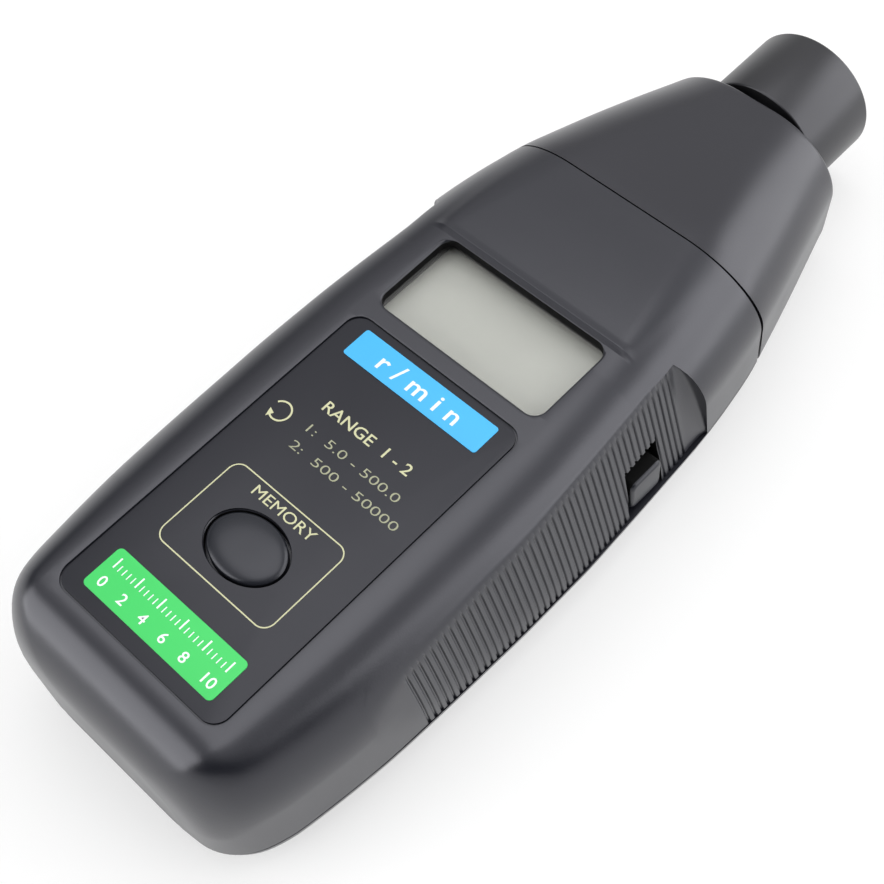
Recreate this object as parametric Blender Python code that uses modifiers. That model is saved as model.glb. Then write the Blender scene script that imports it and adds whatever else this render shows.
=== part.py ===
"""Hand-held laser tachometer, lying on its back: X across, Y towards the lens barrel, Z up."""
import math

import bmesh
import bpy
import numpy as np

MM = 0.001

# Driving dimensions, in millimetres
BUTT_Y = -97.6
SEAM_Y = 36.95
SEAM_GAP = 0.3
SEAM_LEAN = 0.17
NOSE_FRONT_Y = 77.25
SLEEVE_BACK_Y = 79.55
BARREL_FRONT_Y = 97.6
AXIS_Z = 17.5
FACE_Z = 37.0
PART_Z = 7.5
PART_GAP = 0.3
WALL = 2.0
SLEEVE_R = 13.6
NECK_R = 11.2
SLEEVE_WALL = 1.6
NECK_WALL = 1.8
LENS_GAP = 0.3
THREAD_GAP = 0.25
NUT_WALL = 0.95
LENS_INSET = 9.4
LABEL_HALF_X = 20.1
LABEL_Y = (-86.05, -14.15)
WINDOW_HALF_X = 19.5
WINDOW_Y = (-10.25, 9.1)
STEP_Y = 9.5
BUTTON_Y = -60.55
BUTTON_RX = 8.5
BUTTON_RY = 6.35
SIDE_BUTTON_Y = 3.8
SIDE_BUTTON_Z = 12.8
RIB_PITCH = 1.55
RIB_GROOVE = 0.7
RIB_DEPTH = 0.5
RIB_FIRST_Y = -57.9
RIB_COUNT = 47
RIB_LEAN = 0.09
GRIP_END_Y = 15.0
CELL_R = 6.95
CELL_PITCH = 14.1

# Half width of the body at its widest level, along Y
WIDTH_TABLE = (
    (-97.6, 17.5), (-97.0, 22.6), (-95.6, 25.8), (-93.4, 28.2), (-90.6, 30.0), (-87.15, 31.3),
    (-84.65, 32.0), (-79.15, 32.9), (-71.65, 33.9), (-63.65, 34.7), (-56.65, 35.1), (-49.65, 35.4),
    (-40.65, 35.7), (-28.65, 36.0), (-16.0, 36.0), (-5.65, 35.6), (2.35, 35.2), (9.35, 34.8),
    (19.35, 34.2), (25.35, 33.6), (32.35, 32.6), (39.15, 31.4), (45.35, 29.8), (52.35, 27.9),
    (59.35, 25.9), (66.35, 23.8), (73.35, 21.7), (77.25, 20.6),
)
# Half width of the flat front face
FLAT_TABLE = (
    (-97.6, 9.0), (-97.0, 13.0), (-95.6, 16.5), (-93.4, 19.0), (-90.6, 20.5), (-87.15, 21.3),
    (-82.3, 21.5), (-14.0, 21.5), (-4.0, 21.2), (9.35, 20.0), (23.0, 17.4), (36.95, 13.9),
    (58.7, 8.5), (77.25, 4.0),
)
# Height of the front face beyond the display
TOP_TABLE = ((9.5, 37.5), (20.0, 37.4), (36.95, 36.95), (50.0, 35.7), (64.0, AXIS_Z + NECK_R + 5.0),
             (77.25, AXIS_Z + NECK_R + 2.6))
# Drop from the front face to the widest level
SHOULDER_TABLE = ((-97.6, 15.8), (36.95, 15.5), (77.25, 13.2))
# Flat grip wall: half width at its foot, slope inwards per mm of height, and its upper edge
GRIP_TABLE = ((-76.0, 37.6), (-66.0, 36.1), (-56.65, 35.5), (-40.65, 35.8), (-28.65, 36.0), (-13.65, 35.4),
              (2.35, 34.3), (15.0, 33.1), (24.0, 32.0))
GRIP_SLOPE = ((-80.0, 0.1), (-57.0, 0.112), (-34.0, 0.152), (-5.0, 0.163), (24.0, 0.168))
GRIP_TOP = ((-57.0, 30.2), (-34.0, 31.9), (-5.0, 33.1), (15.0, 33.8))
# Extra thickness of the side walls behind the grip
BACKING_TABLE = ((-78.0, 0.0), (-64.0, 1.2), (-54.0, 2.2), (14.0, 2.2), (25.0, 0.3), (32.0, 0.0))
# Bottom corner rounding along Y
ROUND_TABLE = ((-97.6, 8.0), (44.0, 8.0), (77.25, 3.4))


def clear_scene():
    """Remove whatever the start-up scene holds."""
    for item in list(bpy.data.objects):
        bpy.data.objects.remove(item)


def material(name, colour, roughness=0.5, metallic=0.0):
    """Make a plain surface with a base colour."""
    made = bpy.data.materials.new(name)
    made.use_nodes = True
    shader = made.node_tree.nodes["Principled BSDF"]
    shader.inputs["Base Color"].default_value = (*colour, 1.0)
    shader.inputs["Roughness"].default_value = roughness
    shader.inputs["Metallic"].default_value = metallic
    return made


def curve_value(table, y):
    """Read a table with a smooth monotone curve through its rows."""
    xs = np.array([row[0] for row in table])
    vs = np.array([row[1] for row in table])
    if y <= xs[0]:
        return float(vs[0])
    if y >= xs[-1]:
        return float(vs[-1])
    step = np.diff(xs)
    slope = np.diff(vs) / step
    tangent = np.zeros(len(xs))
    tangent[0], tangent[-1] = slope[0], slope[-1]
    for i in range(1, len(xs) - 1):
        if slope[i - 1] * slope[i] > 0:
            tangent[i] = 2.0 / (1.0 / slope[i - 1] + 1.0 / slope[i])
    i = int(np.searchsorted(xs, y) - 1)
    t = (y - xs[i]) / step[i]
    h00 = 2 * t ** 3 - 3 * t ** 2 + 1
    h10 = t ** 3 - 2 * t ** 2 + t
    h01 = -2 * t ** 3 + 3 * t ** 2
    h11 = t ** 3 - t ** 2
    return float(h00 * vs[i] + h10 * step[i] * tangent[i] + h01 * vs[i + 1] + h11 * step[i] * tangent[i + 1])


def top_z(y):
    """Height of the front face along Y, with the rounded butt and the raised part above the display."""
    if y < -87.15:
        u = min((-87.15 - y) / (-87.15 - BUTT_Y), 0.985)
        return FACE_Z - 14.0 * (1.0 - math.sqrt(1.0 - u * u))
    if y <= STEP_Y - 0.4:
        return FACE_Z
    if y < STEP_Y:
        return FACE_Z + 0.5 * (y - STEP_Y + 0.4) / 0.4
    return curve_value(TOP_TABLE, y)


def bottom_z(y):
    """Height of the back along Y, with the butt tucked up."""
    if y < -87.15:
        u = min((-87.15 - y) / (-87.15 - BUTT_Y), 0.985)
        return 6.4 * (1.0 - math.sqrt(1.0 - u * u))
    if y > SEAM_Y:
        return 0.8 * (y - SEAM_Y) / (NOSE_FRONT_Y - SEAM_Y)
    return 0.0


def section_values(y, inset):
    """Give width, flat, top, bottom, shoulder drop and bottom round of the section at a station."""
    width = curve_value(WIDTH_TABLE, y) - inset
    if inset >= WALL:
        width -= curve_value(BACKING_TABLE, y)
    flat = min(curve_value(FLAT_TABLE, y), width - 4.0)
    top = top_z(y) - inset
    bottom = bottom_z(y) + inset
    height = top - bottom
    drop = min(curve_value(SHOULDER_TABLE, y) - inset * 0.6, height * 0.5)
    rounding = min(max(curve_value(ROUND_TABLE, y) - inset, 2.0), height * 0.3)
    return width, flat, top, bottom, drop, rounding


def side_x(y, z, inset):
    """Half width of the body at a station and a height."""
    width, flat, top, bottom, drop, rounding = section_values(y, inset)
    if z >= top - drop:
        u = min((z - top + drop) / drop, 1.0)
        return flat + (width - flat) * math.sqrt(max(0.0, 1.0 - u * u))
    return width - 0.5 * (top - drop - z) / max(top - drop - bottom - rounding, 1.0)


def grip_x(y, z):
    """Half width of the flat grip wall at a point."""
    return curve_value(GRIP_TABLE, y) - curve_value(GRIP_SLOPE, y) * (z - 8.0)


def half_section(y, inset, shoulder_steps, bottom_steps):
    """Right half of the body section as (x, z) points, from the front face down to the back."""
    width, flat, top, bottom, drop, rounding = section_values(y, inset)
    half = [(flat * 0.5, top)]
    for i in range(shoulder_steps + 1):
        a = math.pi / 2 * (1.0 - i / shoulder_steps)
        half.append((flat + (width - flat) * math.cos(a), top - drop + drop * math.sin(a)))
    tuck = width - 0.5
    for i in range(bottom_steps + 1):
        a = math.pi / 2 * i / bottom_steps
        half.append((tuck - rounding + rounding * math.cos(a), bottom + rounding - rounding * math.sin(a)))
    return half


def section_ring(y, inset, shoulder_steps=7, bottom_steps=4, lean=0.0):
    """Closed ring of (x, y, z) points of the body section; lean carries the lower points forward."""
    half = half_section(y, inset, shoulder_steps, bottom_steps)
    front = top_z(y) - inset
    right = []
    for n, (x, z) in enumerate(half):
        ahead = y + lean * (front - z)
        if lean:
            x, z = half_section(ahead, inset, shoulder_steps, bottom_steps)[n]
        right.append((x, ahead, z))
    left = [(-x, py, z) for x, py, z in reversed(right)]
    low = right[-1]
    return [(0.0, y, front)] + right + [(0.0, low[1], low[2])] + left


def mesh_object(name, verts, faces, surface=None, hidden=False):
    """Make an object from points in millimetres and faces."""
    data = bpy.data.meshes.new(name)
    data.from_pydata([(x * MM, y * MM, z * MM) for x, y, z in verts], [], faces)
    work = bmesh.new()
    work.from_mesh(data)
    bmesh.ops.remove_doubles(work, verts=work.verts, dist=1e-6)
    bmesh.ops.recalc_face_normals(work, faces=work.faces)
    work.to_mesh(data)
    work.free()
    made = bpy.data.objects.new(name, data)
    if surface:
        data.materials.append(surface)
    if hidden:
        made.hide_render = True
        made.display_type = "WIRE"
        CUTTERS.objects.link(made)
    else:
        bpy.context.scene.collection.objects.link(made)
    return made


def loft(name, rings, surface=None, hidden=False):
    """Join rings of equal count into a closed body."""
    count = len(rings[0])
    verts = [p for ring in rings for p in ring]
    faces = []
    for r in range(len(rings) - 1):
        for i in range(count):
            j = (i + 1) % count
            faces.append((r * count + i, r * count + j, (r + 1) * count + j, (r + 1) * count + i))
    faces.append(tuple(range(count)))
    faces.append(tuple((len(rings) - 1) * count + i for i in range(count)))
    return mesh_object(name, verts, faces, surface, hidden)


def box(name, low, high, surface=None, hidden=False, bevel=0.0):
    """Make a box between two corners."""
    (x0, y0, z0), (x1, y1, z1) = low, high
    rings = [[(x0, y0, z), (x1, y0, z), (x1, y1, z), (x0, y1, z)] for z in (z0, z1)]
    made = loft(name, rings, surface, hidden)
    if bevel:
        add_bevel(made, bevel)
    return made


def add_bevel(target, width, segments=2):
    """Round the sharp edges of a piece."""
    mod = target.modifiers.new("edge", "BEVEL")
    mod.width = width * MM
    mod.segments = segments
    mod.limit_method = "ANGLE"
    mod.angle_limit = math.radians(40)


def rounded_outline(half_x, y0, y1, radius, z, steps=4):
    """Closed loop of a rounded rectangle at one height."""
    loop = []
    corners = ((half_x - radius, y1 - radius, 0), (-half_x + radius, y1 - radius, 90),
               (-half_x + radius, y0 + radius, 180), (half_x - radius, y0 + radius, 270))
    for cx, cy, start in corners:
        for i in range(steps + 1):
            a = math.radians(start + 90 * i / steps)
            loop.append((cx + radius * math.cos(a), cy + radius * math.sin(a), z))
    return loop


def rounded_plate(name, half_x, y0, y1, radius, z0, z1, surface=None, hidden=False, steps=4):
    """Make a plate with rounded corners in plan."""
    rings = [rounded_outline(half_x, y0, y1, radius, z, steps) for z in (z0, z1)]
    return loft(name, rings, surface, hidden)


def lathe(name, profile, centre, axis, surface=None, hidden=False, steps=32, stretch=1.0):
    """Turn a closed (radius, along) profile about an axis through a centre."""
    rings = []
    for r, a in profile:
        ring = []
        for i in range(steps):
            t = 2 * math.pi * i / steps
            u, v = r * math.cos(t) * stretch, r * math.sin(t)
            if axis == "Z":
                ring.append((centre[0] + u, centre[1] + v, centre[2] + a))
            elif axis == "Y":
                ring.append((centre[0] + u, centre[1] + a, centre[2] + v))
            else:
                ring.append((centre[0] + a, centre[1] + u, centre[2] + v))
        rings.append(ring)
    verts = [p for ring in rings for p in ring]
    faces = []
    total = len(rings)
    for r in range(total):
        q = (r + 1) % total
        if profile[r][0] < 1e-6 and profile[q][0] < 1e-6:
            continue
        for i in range(steps):
            j = (i + 1) % steps
            faces.append((r * steps + i, r * steps + j, q * steps + j, q * steps + i))
    verts, faces = collapse(verts, faces)
    return mesh_object(name, verts, faces, surface, hidden)


def collapse(verts, faces):
    """Merge points that coincide and drop the corners they leave in the faces."""
    index, kept, remap = {}, [], []
    for p in verts:
        key = tuple(round(c, 5) for c in p)
        if key not in index:
            index[key] = len(kept)
            kept.append(p)
        remap.append(index[key])
    out = []
    for face in faces:
        ids = []
        for v in face:
            if remap[v] not in ids:
                ids.append(remap[v])
        if len(ids) > 2:
            out.append(tuple(ids))
    return kept, out


def cut(target, tool, operation="DIFFERENCE"):
    """Combine a hidden tool body with a piece."""
    mod = target.modifiers.new(tool.name, "BOOLEAN")
    mod.object = tool
    mod.operation = operation
    mod.solver = "EXACT"


clear_scene()
CUTTERS = bpy.data.collections.new("cutters")
bpy.context.scene.collection.children.link(CUTTERS)

casing = material("casing_plastic", (0.045, 0.046, 0.052), 0.5)
gloss = material("button_plastic", (0.03, 0.03, 0.034), 0.35)
label_ink = material("label_film", (0.06, 0.066, 0.078), 0.45)
green_film = material("green_film", (0.05, 0.72, 0.16), 0.5)
blue_film = material("blue_film", (0.07, 0.52, 1.0), 0.5)
glass = material("clear_glass", (0.75, 0.8, 0.78), 0.1)
display = material("display_glass", (0.45, 0.47, 0.43), 0.3)
board = material("board_laminate", (0.03, 0.22, 0.09), 0.5)
steel = material("plated_steel", (0.6, 0.6, 0.6), 0.3, 1.0)
brass = material("brass", (0.75, 0.55, 0.25), 0.3, 1.0)
rubber = material("zebra_rubber", (0.25, 0.25, 0.25), 0.8)
wrap = material("cell_wrap", (0.16, 0.2, 0.28), 0.4)
dark = material("dark_plastic", (0.02, 0.02, 0.022), 0.55)

# Body surface and its cavity, shared by the cases and the nose
BODY_STATIONS = [-97.6, -97.2, -96.4, -95.1, -93.2, -90.6, -87.15, -83.0, -77.0, -70.0, -62.0, -50.0,
                 -36.0, -20.0, -4.0, 9.1, 9.5, 19.0]
CAVITY_STATIONS = [-95.4, -94.0, -91.4, -87.15, -82.0, -74.0, -62.0, -46.0, -26.0, -6.0, 9.1,
                   9.5, 18.0, 27.0, 39.0]
LEAN_STATIONS = ((24.5, 0.3), (30.0, 0.65), (SEAM_Y, 1.0))


def body_rings():
    """Rings of the whole body from the butt to the leaning seam."""
    rings = [section_ring(y, 0.0) for y in BODY_STATIONS]
    rings += [section_ring(y, 0.0, lean=SEAM_LEAN * share) for y, share in LEAN_STATIONS]
    return rings


front_case = loft("front_case", body_rings(), casing)
cavity_rings = [section_ring(y, WALL, 5, 3) for y in CAVITY_STATIONS]
cavity_rings.append(section_ring(48.0, WALL, 5, 3))
cavity = loft("cut_cavity", cavity_rings, hidden=True)
cut(front_case, box("cut_below", (-60, -120, -20), (60, 120, PART_Z + PART_GAP / 2), hidden=True))
cut(front_case, cavity)

# Screw bosses reach from the inside of the front face to the back moulding
SCREWS = ((-21.5, -80.6), (21.5, -80.6), (-20.5, 28.5), (20.5, 28.5))
for n, (sx, sy) in enumerate(SCREWS):
    rise = 27.5 if sy < 0 else 26.2
    boss = lathe(f"add_boss_{n + 1}", [(0, 0), (3.4, 0), (3.4, rise), (0, rise)], (sx, sy, 8.0), "Z",
                 hidden=True, steps=16)
    cut(front_case, boss, "UNION")
for n, (sx, sy) in enumerate(SCREWS):
    hole = lathe(f"cut_boss_{n + 1}", [(0, 0), (1.35, 0), (1.35, 14.0), (0, 14.0)], (sx, sy, 6.0), "Z",
                 hidden=True, steps=12)
    cut(front_case, hole)

# Openings of the front: label pocket, display window, button holes
cut(front_case, rounded_plate("cut_label", LABEL_HALF_X + 0.25, LABEL_Y[0] - 0.25, LABEL_Y[1] + 0.25, 3.4,
                              FACE_Z - 0.5, FACE_Z + 3.0, hidden=True))
cut(front_case, rounded_plate("add_window_skirt", WINDOW_HALF_X + 1.6, WINDOW_Y[0] - 1.6, WINDOW_Y[1] + 1.6,
                              3.4, 34.2, 35.6, hidden=True), "UNION")
cut(front_case, rounded_plate("cut_window", WINDOW_HALF_X, WINDOW_Y[0], WINDOW_Y[1], 2.6, 33.0, 42.0,
                              hidden=True))
cut(front_case, lathe("cut_memory", [(0, 0), (BUTTON_RY, 0), (BUTTON_RY, 8.0), (0, 8.0)],
                      (0, BUTTON_Y, 32.5), "Z", hidden=True, steps=40, stretch=BUTTON_RX / BUTTON_RY))
cut(front_case, box("cut_side_button", (28.0, SIDE_BUTTON_Y - 5.1, SIDE_BUTTON_Z - 3.9),
                    (40.0, SIDE_BUTTON_Y + 4.9, SIDE_BUTTON_Z + 7.9), hidden=True))

# Grip on both sides: a flat wall cut into the rounded side, ending in a concave ramp
GRIP_STATIONS = (-76.0, -66.0, -57.0, -44.0, -28.0, -13.0, 2.0)
GRIP_LEVELS = (35.6, 34.0, 32.0, 28.0, 22.0, 14.0, 5.0)
RAMP_STEPS = ((0.0, 1.0), (0.35, 0.94), (0.6, 0.78), (0.82, 0.46), (1.0, 0.0), (1.1, -0.3))


def ramp_point(z, share, depth):
    """Point of the ramp between the last rib and the rim, which leans forward towards the back."""
    start = GRIP_END_Y + RIB_LEAN * (31.0 - z)
    rim = max(21.8 - 0.2 * (z - 11.0) - max(0.0, z - 31.0) * 0.3, start + 1.0)
    y = start + (rim - start) * share
    side = side_x(y, z, 0.0)
    return side + (grip_x(y, z) - side) * depth, y


def grip_cutter(name, side):
    """Body that carves the grip: its inner face is the flat wall and the ramp."""
    rings = []
    for y in GRIP_STATIONS:
        inner = [(side * grip_x(y, z), y, z) for z in GRIP_LEVELS]
        rings.append(inner + [(side * 44.0, y, 5.0), (side * 44.0, y, GRIP_LEVELS[0])])
    for share, depth in RAMP_STEPS:
        inner = []
        for z in GRIP_LEVELS:
            x, y = ramp_point(z, share, depth)
            inner.append((side * x, y, z))
        rings.append(inner + [(side * 44.0, inner[-1][1], 5.0), (side * 44.0, inner[0][1], GRIP_LEVELS[0])])
    return loft(name, rings, hidden=True)


def rib_cutter(name, side):
    """Row of narrow leaning bars that leave the ribs standing between them."""
    verts, faces = [], []
    for n in range(RIB_COUNT):
        y0 = RIB_FIRST_Y + n * RIB_PITCH
        top = curve_value(GRIP_TOP, y0) + 0.6
        loop = []
        for z in (top, top - 2.4, 20.0, 5.0):
            y = y0 + RIB_LEAN * (31.0 - z)
            surface = min(grip_x(y, z), side_x(y, z, 0.0)) if z < 30.0 else grip_x(y, z)
            loop.append((side * (surface - RIB_DEPTH), y, z))
        loop.append((side * 42.0, loop[-1][1], 5.0))
        loop.append((side * 42.0, loop[0][1], top))
        base = len(verts)
        count = len(loop)
        verts += loop + [(x, y + RIB_GROOVE, z) for x, y, z in loop]
        faces.append(tuple(base + i for i in range(count)))
        faces.append(tuple(base + count + i for i in range(count)))
        for i in range(count):
            j = (i + 1) % count
            faces.append((base + i, base + j, base + count + j, base + count + i))
    return mesh_object(name, verts, faces, hidden=True)


for side, word in ((1, "right"), (-1, "left")):
    cut(front_case, grip_cutter(f"cut_grip_{word}", side))
    cut(front_case, rib_cutter(f"cut_ribs_{word}", side))

# Rear case: shallow tray below the parting line
rear_case = loft("rear_case", body_rings(), casing)
cut(rear_case, box("cut_above", (-60, -120, PART_Z - PART_GAP / 2), (60, 120, 60), hidden=True))
cut(rear_case, cavity)
DOOR_HALF_X = 25.6
DOOR_Y = (-73.6, -19.4)
cut(rear_case, rounded_plate("cut_door", DOOR_HALF_X + 0.3, DOOR_Y[0] - 0.3, DOOR_Y[1] + 0.3, 1.8, -3.0, 5.0,
                             hidden=True))
for n, (sx, sy) in enumerate(SCREWS):
    tower = lathe(f"add_tower_{n + 1}", [(0, 0), (3.3, 0), (3.3, 6.1), (0, 6.1)], (sx, sy, 1.5), "Z",
                  hidden=True, steps=16)
    cut(rear_case, tower, "UNION")
for n, (sx, sy) in enumerate(SCREWS):
    profile = [(0, 0), (3.0, 0), (3.0, 6.0), (1.7, 6.0), (1.7, 12.0), (0, 12.0)]
    cut(rear_case, lathe(f"cut_tower_{n + 1}", profile, (sx, sy, -1.5), "Z", hidden=True, steps=16))

# Battery door with its tongue
battery_door = rounded_plate("battery_door", DOOR_HALF_X, DOOR_Y[0], DOOR_Y[1], 1.6, 0.35, 2.0, casing)
cut(battery_door, box("add_tongue_root", (-6.0, DOOR_Y[0] + 0.3, 1.5), (6.0, DOOR_Y[0] + 2.8, 3.2),
                      hidden=True), "UNION")
cut(battery_door, box("add_tongue_tip", (-6.0, DOOR_Y[0] - 1.3, 2.3), (6.0, DOOR_Y[0] + 1.0, 3.2),
                      hidden=True), "UNION")
cut(battery_door, box("cut_thumb", (-7.0, DOOR_Y[1] - 5.0, -1.0), (7.0, DOOR_Y[1] - 3.6, 0.9), hidden=True))

for n, (sx, sy) in enumerate(SCREWS):
    profile = [(0, 0.4), (1.0, 0.6), (2.6, 0.0), (2.6, 2.0), (1.25, 2.0), (1.1, 13.5), (0, 14.2)]
    lathe(f"case_screw_{n + 1}", profile, (sx, sy, 2.3), "Z", steel, steps=12)

# Nose cap: own moulding with a cavity and a bored front wall
NOSE_STATIONS = ((SEAM_Y + SEAM_GAP, 1.0), (42.0, 0.85), (47.0, 0.68), (53.0, 0.5), (60.0, 0.3), (67.0, 0.12),
                 (73.0, 0.0), (75.6, 0.0))
nose_rings = [section_ring(y, 0.0, lean=SEAM_LEAN * share) for y, share in NOSE_STATIONS]
nose_rings.append(section_ring(76.7, 0.45))
nose_rings.append(section_ring(NOSE_FRONT_Y, 1.3))
nose_cap = loft("nose_cap", nose_rings, casing)
NOSE_CAVITY = [34.0, 46.0, 59.0, 67.0, 74.2]
cut(nose_cap, loft("cut_nose_cavity", [section_ring(y, WALL, 5, 3) for y in NOSE_CAVITY], hidden=True))
cut(nose_cap, lathe("cut_bore", [(0, 0), (NECK_R + 0.3, 0), (NECK_R + 0.3, 12), (0, 12)], (0, 70.0, AXIS_Z),
                    "Y", hidden=True, steps=32))

# Lens barrel: neck through the nose wall, wider sleeve in front
LENS_Y = BARREL_FRONT_Y - LENS_INSET
NECK_BORE = NECK_R - NECK_WALL
SLEEVE_BORE = SLEEVE_R - SLEEVE_WALL
LENS_R = SLEEVE_BORE - LENS_GAP
NUT_R = NECK_R + THREAD_GAP
barrel_profile = [
    (NECK_BORE, 65.5), (NECK_R, 65.5), (NECK_R, SLEEVE_BACK_Y), (SLEEVE_R - 0.3, SLEEVE_BACK_Y),
    (SLEEVE_R, SLEEVE_BACK_Y + 0.3), (SLEEVE_R, BARREL_FRONT_Y - 0.5), (SLEEVE_R - 0.5, BARREL_FRONT_Y),
    (SLEEVE_BORE + 0.2, BARREL_FRONT_Y), (SLEEVE_BORE, BARREL_FRONT_Y - 0.4), (SLEEVE_BORE, LENS_Y - 0.4),
    (NECK_BORE, LENS_Y - 0.4),
]
lathe("lens_barrel", barrel_profile, (0, 0, AXIS_Z), "Y", casing, steps=40)
lathe("barrel_nut", [(NUT_R, 70.2), (NUT_R + NUT_WALL, 70.2), (NUT_R + NUT_WALL, 73.8), (NUT_R, 73.8)],
      (0, 0, AXIS_Z), "Y", dark, steps=32)
lathe("front_lens", [(0, LENS_Y), (LENS_R, LENS_Y), (LENS_R, LENS_Y + 1.2), (LENS_R - 3.7, LENS_Y + 1.9),
                     (LENS_R - 7.7, LENS_Y + 2.35), (0, LENS_Y + 2.5)], (0, 0, AXIS_Z), "Y", glass, steps=32)
RING_R = SLEEVE_BORE - 0.25
lathe("lens_ring", [(RING_R - 1.25, LENS_Y + 2.2), (RING_R, LENS_Y + 1.6), (RING_R, LENS_Y + 3.2),
                    (RING_R - 1.25, LENS_Y + 3.2)],
      (0, 0, AXIS_Z), "Y", dark, steps=32)

# Optical block behind the barrel
lathe("laser_module", [(0, 52.0), (3.2, 52.0), (3.2, 71.0), (2.6, 72.0), (0, 72.0)], (0, 0, AXIS_Z + 3.6),
      "Y", brass, steps=20)
lathe("photo_sensor", [(0, 51.0), (2.5, 51.0), (2.5, 55.0), (1.6, 57.0), (0, 57.6)], (0, 0, AXIS_Z - 4.6),
      "Y", dark, steps=20)
box("sensor_board", (-11.0, 48.8, 8.0), (11.0, 50.4, 29.0), board)
HOLDER_R = NECK_BORE - 0.25
holder = lathe("optics_holder", [(0, 50.6), (HOLDER_R, 50.6), (HOLDER_R, 68.0), (HOLDER_R - 0.55, 68.6),
                                 (0, 68.6)],
               (0, 0, AXIS_Z), "Y", dark, steps=26)
cut(holder, lathe("cut_laser_seat", [(0, 49), (3.4, 49), (3.4, 74), (0, 74)], (0, 0, AXIS_Z + 3.6), "Y",
                  hidden=True, steps=22))
cut(holder, lathe("cut_sensor_seat", [(0, 49), (2.7, 49), (2.7, 74), (0, 74)], (0, 0, AXIS_Z - 4.6), "Y",
                  hidden=True, steps=18))

# Main board with its parts
main_board = rounded_plate("main_board", 21.6, -83.4, 33.0, 2.0, 26.6, 28.2, board)
for n, (sx, sy) in enumerate(SCREWS):
    cut(main_board, lathe(f"cut_board_{n + 1}", [(0, 0), (3.9, 0), (3.9, 6), (0, 6)], (sx, sy, 24.0), "Z",
                          hidden=True, steps=16))
rounded_plate("display_window", 20.7, -12.0, 10.8, 1.0, 32.9, 33.95, glass)
box("display_glass", (-20.0, -11.4, 30.1), (20.0, 10.2, 32.6), display)
box("zebra_front", (-19.0, -10.9, 28.45), (19.0, -9.3, 29.85), rubber)
box("zebra_rear", (-19.0, 8.1, 28.45), (19.0, 9.7, 29.85), rubber)
frame = box("display_frame", (-21.6, -13.0, 28.5), (21.6, 11.8, 32.6), dark)
cut(frame, box("cut_frame", (-20.3, -11.7, 27.0), (20.3, 10.5, 40.0), hidden=True))
box("controller_chip", (-7.0, -36.0, 28.45), (7.0, -26.0, 30.5), dark, bevel=0.3)
box("crystal", (9.8, -34.0, 28.45), (13.2, -24.0, 31.6), steel, bevel=0.6)
lathe("capacitor", [(0, 0), (2.5, 0), (2.5, 4.6), (2.1, 5.0), (0, 5.0)], (-13.0, -31.0, 28.45), "Z", steel,
      steps=16)

# Memory button: oval dome on a flange, above its switch
button_profile = [(0, 32.9), (1.5, 32.9), (1.5, 33.5), (7.3, 33.5), (7.3, 34.6), (BUTTON_RY - 0.4, 34.6),
                  (BUTTON_RY - 0.4, 36.3), (BUTTON_RY - 0.7, 36.75), (BUTTON_RY - 1.6, 37.1), (2.6, 37.45),
                  (0, 37.55)]
lathe("memory_button", button_profile, (0, BUTTON_Y, 0), "Z", gloss, steps=32, stretch=BUTTON_RX / BUTTON_RY)
switch = box("memory_switch", (-3.0, BUTTON_Y - 3.0, 28.45), (3.0, BUTTON_Y + 3.0, 31.2), dark)
cut(switch, lathe("add_plunger", [(0, 0), (1.7, 0), (1.7, 1.6), (0, 1.6)], (0, BUTTON_Y, 30.6), "Z",
                  hidden=True, steps=16), "UNION")

# Side button: cap and flange in one loft along X
cap_face = grip_x(SIDE_BUTTON_Y, SIDE_BUTTON_Z) + 0.4
inner_face = side_x(SIDE_BUTTON_Y, SIDE_BUTTON_Z, WALL)


def side_ring(x, half_y, half_z, raised=0.0):
    """Rectangular ring across X around the side button's centre."""
    y, z = SIDE_BUTTON_Y, SIDE_BUTTON_Z + raised
    return [(x, y - half_y, z - half_z), (x, y + half_y, z - half_z), (x, y + half_y, z + half_z),
            (x, y - half_y, z + half_z)]


loft("side_button", [
    side_ring(inner_face - 3.9, 1.5, 1.5), side_ring(inner_face - 2.9, 1.5, 1.5),
    side_ring(inner_face - 2.9, 6.2, 5.9, 2.6), side_ring(inner_face - 1.9, 6.2, 5.9, 2.6),
    side_ring(inner_face - 1.9, 4.3, 3.5), side_ring(cap_face - 0.6, 4.3, 3.5), side_ring(cap_face, 3.8, 3.0),
], gloss)
side_switch = box("side_switch", (inner_face - 9.4, SIDE_BUTTON_Y - 3.0, SIDE_BUTTON_Z - 3.0),
                  (inner_face - 6.2, SIDE_BUTTON_Y + 3.0, SIDE_BUTTON_Z + 3.0), dark)
cut(side_switch, lathe("add_side_plunger", [(0, 0), (1.7, 0), (1.7, 1.6), (0, 1.6)],
                       (inner_face - 6.8, SIDE_BUTTON_Y, SIDE_BUTTON_Z), "X", hidden=True, steps=16), "UNION")
box("switch_board", (inner_face - 11.2, SIDE_BUTTON_Y - 8.0, 10.0),
    (inner_face - 9.6, SIDE_BUTTON_Y + 8.0, 26.4), board)

# Label and its two badges
rounded_plate("panel_label", LABEL_HALF_X, LABEL_Y[0], LABEL_Y[1], 3.2, 36.52, 36.82, label_ink)
cut(bpy.data.objects["panel_label"], lathe(
    "cut_label_hole", [(0, 0), (BUTTON_RY + 0.15, 0), (BUTTON_RY + 0.15, 8.0), (0, 8.0)],
    (0, BUTTON_Y, 33.0), "Z", hidden=True, steps=40, stretch=(BUTTON_RX + 0.15) / (BUTTON_RY + 0.15)))
rounded_plate("green_badge", 16.0, -83.35, -74.55, 1.0, 36.84, 36.96, green_film)
rounded_plate("blue_badge", 16.1, -22.25, -15.75, 0.6, 36.84, 36.96, blue_film)

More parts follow.
